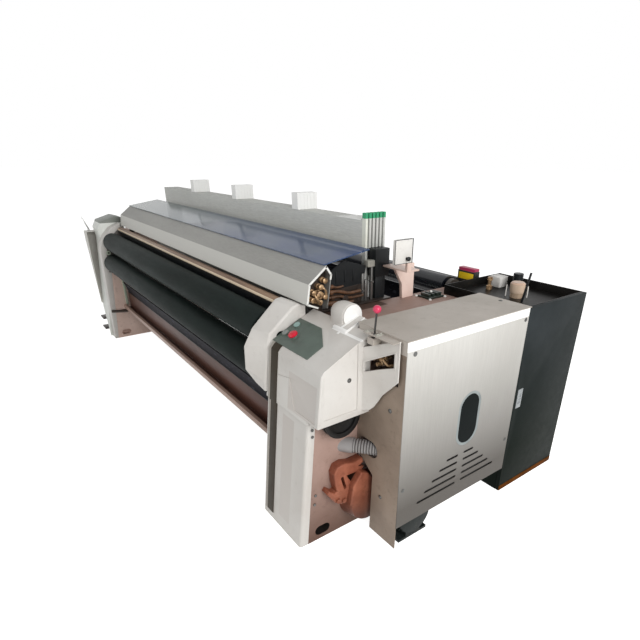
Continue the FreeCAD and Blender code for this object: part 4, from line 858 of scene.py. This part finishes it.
class LOOM_OT_front_covers(LoomOperator, bpy.types.Operator):
    """Moulded covers of the two front posts"""
    bl_idname = "loom.front_covers"
    bl_label = "Front covers"

    def execute(self, context):
        radius = self.looks.edge_radius
        for node in ("right_shoulder_cover", "left_shoulder_cover"):
            softened(node, radius, material=MATERIALS["cover_plastic"])
        # The left side cover and the left post cover take the lighter copies, with painted light.
        softened("left_side_cover", radius, material=MATERIALS["lit_side_cover"])
        # On the right post cover the darker panel is painted shade of a recess; on the console hood the
        # thin pale bands along the ridge before the hump and on the step's side wall are painted
        # highlights, and the darker front panel is painted shade of a recess.
        for node, regions in (
                ("right_post_cover", [((-476, -330, 60), (-384, -200, 590), "#C5BFB9")]),
                ("console_hood", [((-352.5, -60, 940), (-340, 100, 1120), "#F2F1EE"),
                                  ((-400, -50, 956), (-200, -38, 1060), "#F2F1EE"),
                                  ((-309.5, -50, 940), (-306.5, 80, 1060), "#F2F1EE"),
                                  ((-434, -330, 636), (-228, -180, 803), "#C7C1BB")])):
            softened(node, radius,
                     material=repainted("cover_plastic", node + "_finish", *regions))
        softened("left_post_cover", radius, material=repaint(
            MATERIALS["lit_cover_plastic"],
            ((-4000, -260, 1032), (-3700, 60, 1100), "#7C8079")))
        return {"FINISHED"}


class LOOM_OT_controls(LoomOperator, bpy.types.Operator):
    """Sloping control plate, its trim stripe and its three buttons"""
    bl_idname = "loom.controls"
    bl_label = "Controls"

    def execute(self, context):
        softened("control_plate", 1.0)
        softened("post_stripe", 1.0, material=repaint(
            MATERIALS["stripe_paint"], ((-620, -330, -5), (-581, -180, 980), "#AAA49C")))
        for node in ("stop_button", "start_button", "reset_button"):
            softened(node, 1.2)
        return {"FINISHED"}


class LOOM_OT_side_housing(LoomOperator, bpy.types.Operator):
    """Brushed side panel with its liner and window bead, top cover and front guard plate"""
    bl_idname = "loom.side_housing"
    bl_label = "Side housing"

    def execute(self, context):
        for node in ("side_panel", "side_window", "side_top_cover"):
            softened(node, 0.8, 1)
        softened("front_guard_plate", 0.8, 1, material=repaint(
            MATERIALS["guard_plate_paint"], ((-285, -45, 950), (-1, 4, 1006), "#B7AFA6")))
        with new_piece("panel_liner", "cabinet_paint", "black_moulding") as bm:
            heights = (190.0, 700.0)
            add_box(bm, (-16.0, -12.0), (8.0, 733.0), heights, 0.8)
            for y in (14.0, 727.0):
                add_box(bm, (-12.5, -3.2), (y - 4.0, y + 4.0), heights, 0.8)
        with new_piece("window_bead", "window_pane", "bead_grey") as bm:
            add_ring(bm, -2.1, (405.0, 558.0), (120.0, 244.0), 13.4, 1.9)
        return {"FINISHED"}


class LOOM_OT_cabinet(LoomOperator, bpy.types.Operator):
    """Electric cabinet with its door, handle, top tray and feeder drum"""
    bl_idname = "loom.cabinet"
    bl_label = "Cabinet"

    def execute(self, context):
        for node in ("cabinet_body", "cabinet_door", "door_handle", "cabinet_tray",
                     "feeder_drum"):
            softened(node, 1.5)
        with new_piece("cabinet_plinth", "cabinet_paint", "plinth_brown") as bm:
            add_box(bm, (-20.0, 1.2), (743.0, 1221.0), (0.4, 30.0), 0.8)
        return {"FINISHED"}


class LOOM_OT_drive_side(LoomOperator, bpy.types.Operator):
    """Pulley, drive casting, ribbed hose and motor"""
    bl_idname = "loom.drive_side"
    bl_label = "Drive side"

    def execute(self, context):
        for node in ("drive_pulley", "drive_motor"):
            softened(node, 1.5)
        # The near-black patch between the casting's arm and horn is painted shade in its recess.
        softened("drive_casting", 1.5, material=repaint(
            MATERIALS["casting_paint"], ((-282, -84, 285), (-236.5, -8, 372), "#2C1810")))
        dress("corrugated_hose")
        return {"FINISHED"}


class LOOM_OT_small_parts(LoomOperator, bpy.types.Operator):
    """Levers, signal board and relay box, with the board's edging and the lever's shelf"""
    bl_idname = "loom.small_parts"
    bl_label = "Small parts"

    def execute(self, context):
        softened("left_lever", 1.0)
        softened("signal_board", 1.0, material=repainted(
            "board_white", "white_signal_sheet", ((-610, 310, 1110), (-430, 485, 1164.5), "#E4CABD")))
        softened("relay_box", 1.0, material=repaint(
            MATERIALS["relay_housing"],
            ((-650, 1000, 940), (-638, 1055, 1028), "#222321"),
            ((-536, 1000, 940), (-520, 1055, 1028), "#222321")))
        softened("start_lever", 0.5, 1, material=MATERIALS["lever_rod"])
        with new_piece("board_edging", "board_white", "black_moulding") as bm:
            for y, z in (((319, 427), (1270, 1272.5)), ((319, 427), (1165, 1166.5)),
                         ((424, 427), (1166.5, 1270)), ((319, 320.5), (1166.5, 1270))):
                add_box(bm, (-437.6, -434.6), y, z, 0.5)
            add_turned(bm, at(-437, 392, 1186), at(-418, 392, 1186), BOARD_KNOB, 18)
        with new_piece("lever_shelf", "side_cover_paint") as bm:
            for x, y in (((-203, -176), (-44, -0.6)), ((-150, -30), (-44, -0.6)),
                         ((-176.5, -149.5), (-44, -35)), ((-176.5, -149.5), (-9, -0.6))):
                add_box(bm, x, y, (996, 999), 0.5)
        with new_piece("lever_plate", "lever_steel", "pale_casting") as bm:
            for x in ((-200, -182), (-144, -124)):
                add_box(bm, x, (-40, -5), (999, 1001), 0.6)
                middle = (x[0] + x[1]) / 2
                for y, top, radius in ((-30, 1005, 4.0), (-12, 1007, 3.0)):
                    add_rod(bm, at(middle, y, 1001), at(middle, y, top), radius, radius / 5)
        return {"FINISHED"}


class LOOM_OT_insertion_side(LoomOperator, bpy.types.Operator):
    """Nozzle fittings, guide bars and guard block at the right end of the heald frames"""
    bl_idname = "loom.insertion_side"
    bl_label = "Insertion side"

    def execute(self, context):
        self.make_nozzle()
        self.make_bars()
        self.make_plates()
        return {"FINISHED"}

    def make_nozzle(self):
        """Brass nozzle, its holder and water pipe inside the end of the splash guard."""
        with new_piece("nozzle_fittings", "machined_steel", "brass") as bm:
            for y, z, far in ((14, 1084, -562), (34, 1038, -560), (10, 1016, -564), (-22, 1062, -563),
                              (38, 1108, -566), (-26, 1030, -565)):
                add_turned(bm, at(FITTING_SEAT, y, z), at(far, y, z), UNION_NUT, 16)
            add_turned(bm, at(FITTING_SEAT, 8, 1050), at(-561, 8, 1050), NOZZLE)
            add_tube(bm, [at(-570, 14, 1084), at(-560, 24, 1078), at(-558, 34, 1062),
                          at(-562, 34, 1042)], 5.0)
            add_tube(bm, [at(-574, -22, 1062), at(-560, -18, 1046), at(-558, -4, 1024),
                          at(-566, 8, 1016)], 4.5)
        with new_piece("nozzle_pipes", "machined_steel", "oily_pipe") as bm:
            for y0, y1, z0, z1, radius in ((72, 284, 1030, 1016, 8.0), (80, 300, 1004, 992, 6.5),
                                           (70, 240, 978, 970, 9.0), (76, 180, 1056, 1052, 5.5)):
                add_tube(bm, [at(-636, y0, z0), at(-630, (2 * y0 + y1) / 3, z0 + 3),
                              at(-633, (y0 + 2 * y1) / 3, z1 - 2), at(-630, y1, z1)], radius)
                add_rod(bm, at(-633, y0 + 30, z0 + 1), at(-633, y0 + 48, z0 + 1), radius + 4, 1.5)
        with new_piece("drive_fittings", "machined_steel", "brass") as bm:
            for x, z in ((-190, 880), (-168, 862), (-150, 890)):
                add_turned(bm, at(x, 4, z), at(x, 58, z), PIPE_JOINT, 16)
            add_tube(bm, [at(-190, 14, 880), at(-160, 10, 900), at(-120, 16, 872), at(-86, 12, 884)],
                     6.0)
        with new_piece("nozzle_holder", "machined_steel", "dark_steel") as bm:
            add_box(bm, (-690, -608), (20, 92), (951, 962), 1.5)
            add_box(bm, (-676, -664), (26, 86), (962, 1100), 1.5)
            add_box(bm, (-640, -628), (30, 58), (962, 1046), 1.0)

    def make_bars(self):
        """Upright steel bars and clamps beside the heald frame ends."""
        with new_piece("guide_bars", "machined_steel") as bm:
            for y, low, high in ((306, 952, 1092), (326, 952, 1060), (362, 952, 1136)):
                add_box(bm, (-652, -638), (y - 7, y + 7), (low, high), 1.5)
            for y, z in ((306, 1010), (362, 1046)):
                add_rod(bm, at(-660, y, z), at(-630, y, z), 5.0)
        with new_piece("bar_clamp", "machined_steel", "pale_casting") as bm:
            add_box(bm, (-664, -632), (330, 372), (1120, 1150), 2.0)
        with new_piece("heald_stop_block", "cabinet_paint", "black_moulding") as bm:
            add_box(bm, (-692, -628), (372, 462), (1066, 1200), 3.0)
            add_box(bm, (-682, -640), (386, 448), (936.5, 1067), 2.0)

    def make_plates(self):
        """Dark end plate below the clear sheet and the shedding side plate under it."""
        with new_piece("guard_end_plate", "cabinet_paint", "black_moulding") as bm:
            add_prism(bm, [(112, 1120), (196, 1164), (330, 1126), (316, 1040), (120, 1028)],
                      -654, -648, 1.0)
            for y in (150, 200, 250):
                add_box(bm, (-649, -645), (y, y + 5), (1062, 1120), 0.8)
        with new_piece("shedding_side_plate", "bearing_casting", "dark_steel") as bm:
            add_prism(bm, [(100, 951), (104, 1034), (300, 1044), (300, 951)], -656, -644, 1.5)
            add_box(bm, (-690, -612), (96, 470), (ON_FRAME, 958), 1.5)
            for y, z in ((124, 970), (124, 1018), (282, 970), (282, 1018)):
                add_rod(bm, at(-648, y, z), at(-638, y, z), 8.0, 1.5)
            add_rod(bm, at(-700, 190, 990), at(-622, 190, 990), 17.0, 2.0, 24)


class LOOM_OT_left_details(LoomOperator, bpy.types.Operator):
    """Collar between the rollers, stay, rod and bosses on the left frame, and foot plates"""
    bl_idname = "loom.left_details"
    bl_label = "Left details"

    def execute(self, context):
        with new_piece("left_stay_and_collar", "stave_aluminium", "pale_green_paint") as bm:
            add_turned(bm, at(-3556, *COLLAR_AXIS), at(-3545, *COLLAR_AXIS), COLLAR)
            add_box(bm, (-3599, -3584), (-150, -130), (313.6, 600), 2.0)
        with new_piece("left_dark_fittings", "bearing_casting", "dark_steel") as bm:
            add_rod(bm, at(-3571.6, *COLLAR_AXIS), at(-3548, *COLLAR_AXIS), 7.9)
            add_rod(bm, at(-3587.5, -290, 268), at(-3587.5, -152, 250), 12.0, 1.5)
            for y, z, radius in ((-52, 238, 34.0), (40, 182, 21.0)):
                add_turned(bm, at(-3600, y, z), at(-3590, y, z),
                           [(0.0, 0.0), (0.0, radius), (0.8, radius), (1.0, radius * 0.9),
                            (1.0, radius * 0.55), (0.2, radius * 0.5), (0.2, 0.0)])
            for low, high in ((0.4, 15.0), (104.0, 119.0)):
                add_box(bm, (-4056, -3936), (-314, -236), (low, high), 2.0)
            add_box(bm, (-3990, -3950), (-262, -246), (14.0, 105.0), 2.0)
        return {"FINISHED"}


class LOOM_OT_rear_details(LoomOperator, bpy.types.Operator):
    """Rear bar, junction block on the frame top, and what stands in the cabinet tray"""
    bl_idname = "loom.rear_details"
    bl_label = "Rear details"

    def execute(self, context):
        with new_piece("rear_tie_bar", "cabinet_paint", "black_moulding") as bm:
            add_box(bm, (-3610, -650), (1014, 1046), (ON_FRAME, 972), 1.5)
        with new_piece("rear_tie_strip", "stave_aluminium", "hemmed_navy_sheet") as bm:
            add_box(bm, BETWEEN_FRAMES, (1012.4, 1016), (690, 950), 0.8)
        with new_piece("terminal_strip", "cabinet_paint", "dark_green_moulding") as bm:
            add_box(bm, (-560, -478), (606, 712), (ON_FRAME, 960), 1.5)
            for y in (622, 650, 680, 700):
                add_box(bm, (-548, -490), (y - 7, y + 7), (960, 974), 1.5)
        with new_piece("terminal_screws", "cabinet_paint", "white_edge") as bm:
            for x, y in ((-568, 604), (-470, 712), (-568, 712), (-470, 604), (-520, 660)):
                low = 974.2 if x == -520 else 950.3
                add_rod(bm, at(x, y, low), at(x, y, low + 8), 7.0, 1.2)
        self.make_tray_contents()
        return {"FINISHED"}

    def make_tray_contents(self):
        """Terminal box, valve, posts of the feeder drum, rod and spool."""
        with new_piece("white_terminal_box", "board_white") as bm:
            add_box(bm, (-480, -412), (1080, 1150), (TRAY_FLOOR, 1012), 3.0)
        with new_piece("tray_valve", "machined_steel", "brass") as bm:
            add_turned(bm, at(-430, 1016, TRAY_FLOOR), at(-430, 1016, 1022), VALVE)
        with new_piece("drum_posts", "board_white") as bm:
            for x, y in ((-292, 972), (-206, 1030)):
                add_rod(bm, at(x, y, TRAY_FLOOR), at(x, y, 1014), 3.0)
        with new_piece("tray_rod_and_spool", "cabinet_paint", "black_moulding") as bm:
            add_rod(bm, at(-168, 930, TRAY_FLOOR), at(-150, 944, 1104), 5.5)
            add_rod(bm, at(-330, 1120, TRAY_FLOOR), at(-330, 1120, 1046), 26.0, 2.0, 24)


class LOOM_OT_fasteners(LoomOperator, bpy.types.Operator):
    """Domed screws of the covers"""
    bl_idname = "loom.fasteners"
    bl_label = "Fasteners"

    def execute(self, context):
        with new_piece("cover_screws", "lever_steel", "screw_steel") as bm:
            out_of_side = Vector((1, 0, 0))
            out_of_front = Vector((0, -1, 0))
            up = Vector((0, 0, 1))
            for place, out in (((0.0, 39, 953), out_of_side), ((0.0, 720, 953), out_of_side),
                               ((0.0, 720, 331), out_of_side), ((0.0, 25, 340), out_of_side),
                               ((-210.0, -101, 805), out_of_side),
                               ((-76, 0.0, 695), out_of_front), ((-111, 0.0, 248), out_of_front),
                               ((-143, 719, 1007.0), up)):
                add_turned(bm, at(*place), at(*place) + out * SCREW_HEIGHT * MM, SCREW_HEAD, 20)
            for y, z in ((-236, 592), (-236, 560), (-228, 256), (-234, 209)):
                add_rod(bm, at(-280, y, z), at(-274, y, z), 6.5, 1.4)
        return {"FINISHED"}


CAMERA_PLACE = (1120.0, -1126.7, 1605.5)    # mm, from the side panel's front foot
CAMERA_TURN = 52.35                         # degrees from square to the front, towards -X
CAMERA_TILT = 25.39                         # degrees down
CAMERA_ROLL = 0.65
FOCAL_PIXELS = 474.4
OPTICAL_CENTRE = (349.4, 379.8)
IMAGE_SIZE = 640.0
SENSOR_MM = 36.0
FLOOR_GLOW = 0.85                           # of white, where the camera or a reflection sees it
SOFT_LIGHT = 0.33                           # of the white surroundings, on the loom itself


class LOOM_OT_stage(LoomOperator, bpy.types.Operator):
    """Pale floor, soft light, white surroundings and the camera"""
    bl_idname = "loom.stage"
    bl_label = "Stage"

    def execute(self, context):
        scene = context.scene
        scene.view_settings.view_transform = "Standard"
        self.make_camera(scene)
        self.make_floor()
        self.make_world(scene)
        self.make_lamps()
        return {"FINISHED"}

    def make_camera(self, scene):
        turn, tilt, roll = (math.radians(a) for a in (CAMERA_TURN, CAMERA_TILT, CAMERA_ROLL))
        forward = Vector((-math.sin(turn) * math.cos(tilt), math.cos(turn) * math.cos(tilt),
                          -math.sin(tilt)))
        right = forward.cross(Vector((0, 0, 1))).normalized()
        up = right.cross(forward)
        right, up = (right * math.cos(roll) + up * math.sin(roll),
                     up * math.cos(roll) - right * math.sin(roll))
        data = bpy.data.cameras.new("photo_camera")
        data.sensor_width = SENSOR_MM
        data.lens = FOCAL_PIXELS / IMAGE_SIZE * SENSOR_MM
        data.shift_x = (IMAGE_SIZE / 2 - OPTICAL_CENTRE[0]) / IMAGE_SIZE
        data.shift_y = (OPTICAL_CENTRE[1] - IMAGE_SIZE / 2) / IMAGE_SIZE
        camera = bpy.data.objects.new("photo_camera", data)
        turned = Matrix((right, up, -forward)).transposed().to_4x4()
        camera.matrix_world = Matrix.Translation(at(*CAMERA_PLACE)) @ turned
        scene.collection.objects.link(camera)
        scene.camera = camera

    def make_floor(self):
        bm = bmesh.new()
        bmesh.ops.create_grid(bm, x_segments=1, y_segments=1, size=60.0)
        bmesh.ops.translate(bm, verts=bm.verts, vec=(0.0, 0.0, -0.0005))
        mesh = bpy.data.meshes.new("floor")
        bm.to_mesh(mesh)
        bm.free()
        floor = bpy.data.objects.new("floor", mesh)
        bpy.context.scene.collection.objects.link(floor)
        material, tree, shader = new_material("plain_pale_floor", Roughness=0.9,
                                              Specular_IOR_Level=0.0)
        shader.inputs["Base Color"].default_value = (*self.looks.floor_colour, 1.0)
        seen = seen_by(tree, "Is Camera Ray", "Is Glossy Ray")
        lift = add(tree, "Math", [(0, seen, 0)], [(1, FLOOR_GLOW)], operation="MULTIPLY")
        shader.inputs["Emission Color"].default_value = GREY_1
        tree.links.new(lift.outputs[0], shader.inputs["Emission Strength"])
        mesh.materials.append(material)

    def make_world(self, scene):
        world = bpy.data.worlds.new("white_surroundings")
        world.use_nodes = True
        scene.world = world
        tree = world.node_tree
        background = tree.nodes["Background"]
        seen = seen_by(tree, "Is Camera Ray", "Is Glossy Ray", "Is Transmission Ray")
        strength = add(tree, "MapRange", [("Value", seen, 0)], To_Min=SOFT_LIGHT, To_Max=1.0)
        background.inputs["Color"].default_value = GREY_1
        tree.links.new(strength.outputs[0], background.inputs["Strength"])

    def make_lamps(self):
        for name, place, target, size, power in (
                ("key_lamp", (3600.0, -300.0, 2600.0), (-500.0, 300.0, 700.0), 3.0, 1.15),
                ("front_lamp", (-1600.0, -4200.0, 3000.0), (-2000.0, 0.0, 700.0), 3.5, 0.35)):
            data = bpy.data.lights.new(name, "AREA")
            data.size = size
            data.energy = self.looks.key_power * power
            lamp = bpy.data.objects.new(name, data)
            start = at(*place)
            aim = (at(*target) - start).to_track_quat("-Z", "Y")
            lamp.matrix_world = Matrix.Translation(start) @ aim.to_matrix().to_4x4()
            bpy.context.scene.collection.objects.link(lamp)


STEPS = (LOOM_OT_side_frames, LOOM_OT_rollers, LOOM_OT_cross_members, LOOM_OT_splash_guard,
         LOOM_OT_heald_frames, LOOM_OT_sley, LOOM_OT_front_covers, LOOM_OT_controls,
         LOOM_OT_side_housing, LOOM_OT_cabinet, LOOM_OT_drive_side, LOOM_OT_small_parts,
         LOOM_OT_insertion_side, LOOM_OT_left_details, LOOM_OT_rear_details,
         LOOM_OT_fasteners, LOOM_OT_stage)


class LOOM_PT_panel(bpy.types.Panel):
    """Lists the loom's pieces"""
    bl_idname = "LOOM_PT_panel"
    bl_label = "Power loom"
    bl_space_type = "VIEW_3D"
    bl_region_type = "UI"
    bl_category = "Loom"

    def draw(self, context):
        looks = context.scene.loom_looks
        for name in ("edge_radius", "floor_colour", "key_power"):
            self.layout.prop(looks, name)
        for step in STEPS:
            self.layout.operator(step.bl_idname)


CLASSES = (LoomLooks,) + STEPS + (LOOM_PT_panel,)


def register():
    for cls in CLASSES:
        bpy.utils.register_class(cls)
    bpy.types.Scene.loom_looks = PointerProperty(type=LoomLooks)


def unregister():
    del bpy.types.Scene.loom_looks
    for cls in reversed(CLASSES):
        bpy.utils.unregister_class(cls)


def main():
    register()
    make_materials()
    for step in STEPS:
        group, name = step.bl_idname.split(".")
        getattr(getattr(bpy.ops, group), name)()
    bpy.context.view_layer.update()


if __name__ == "__main__":
    main()
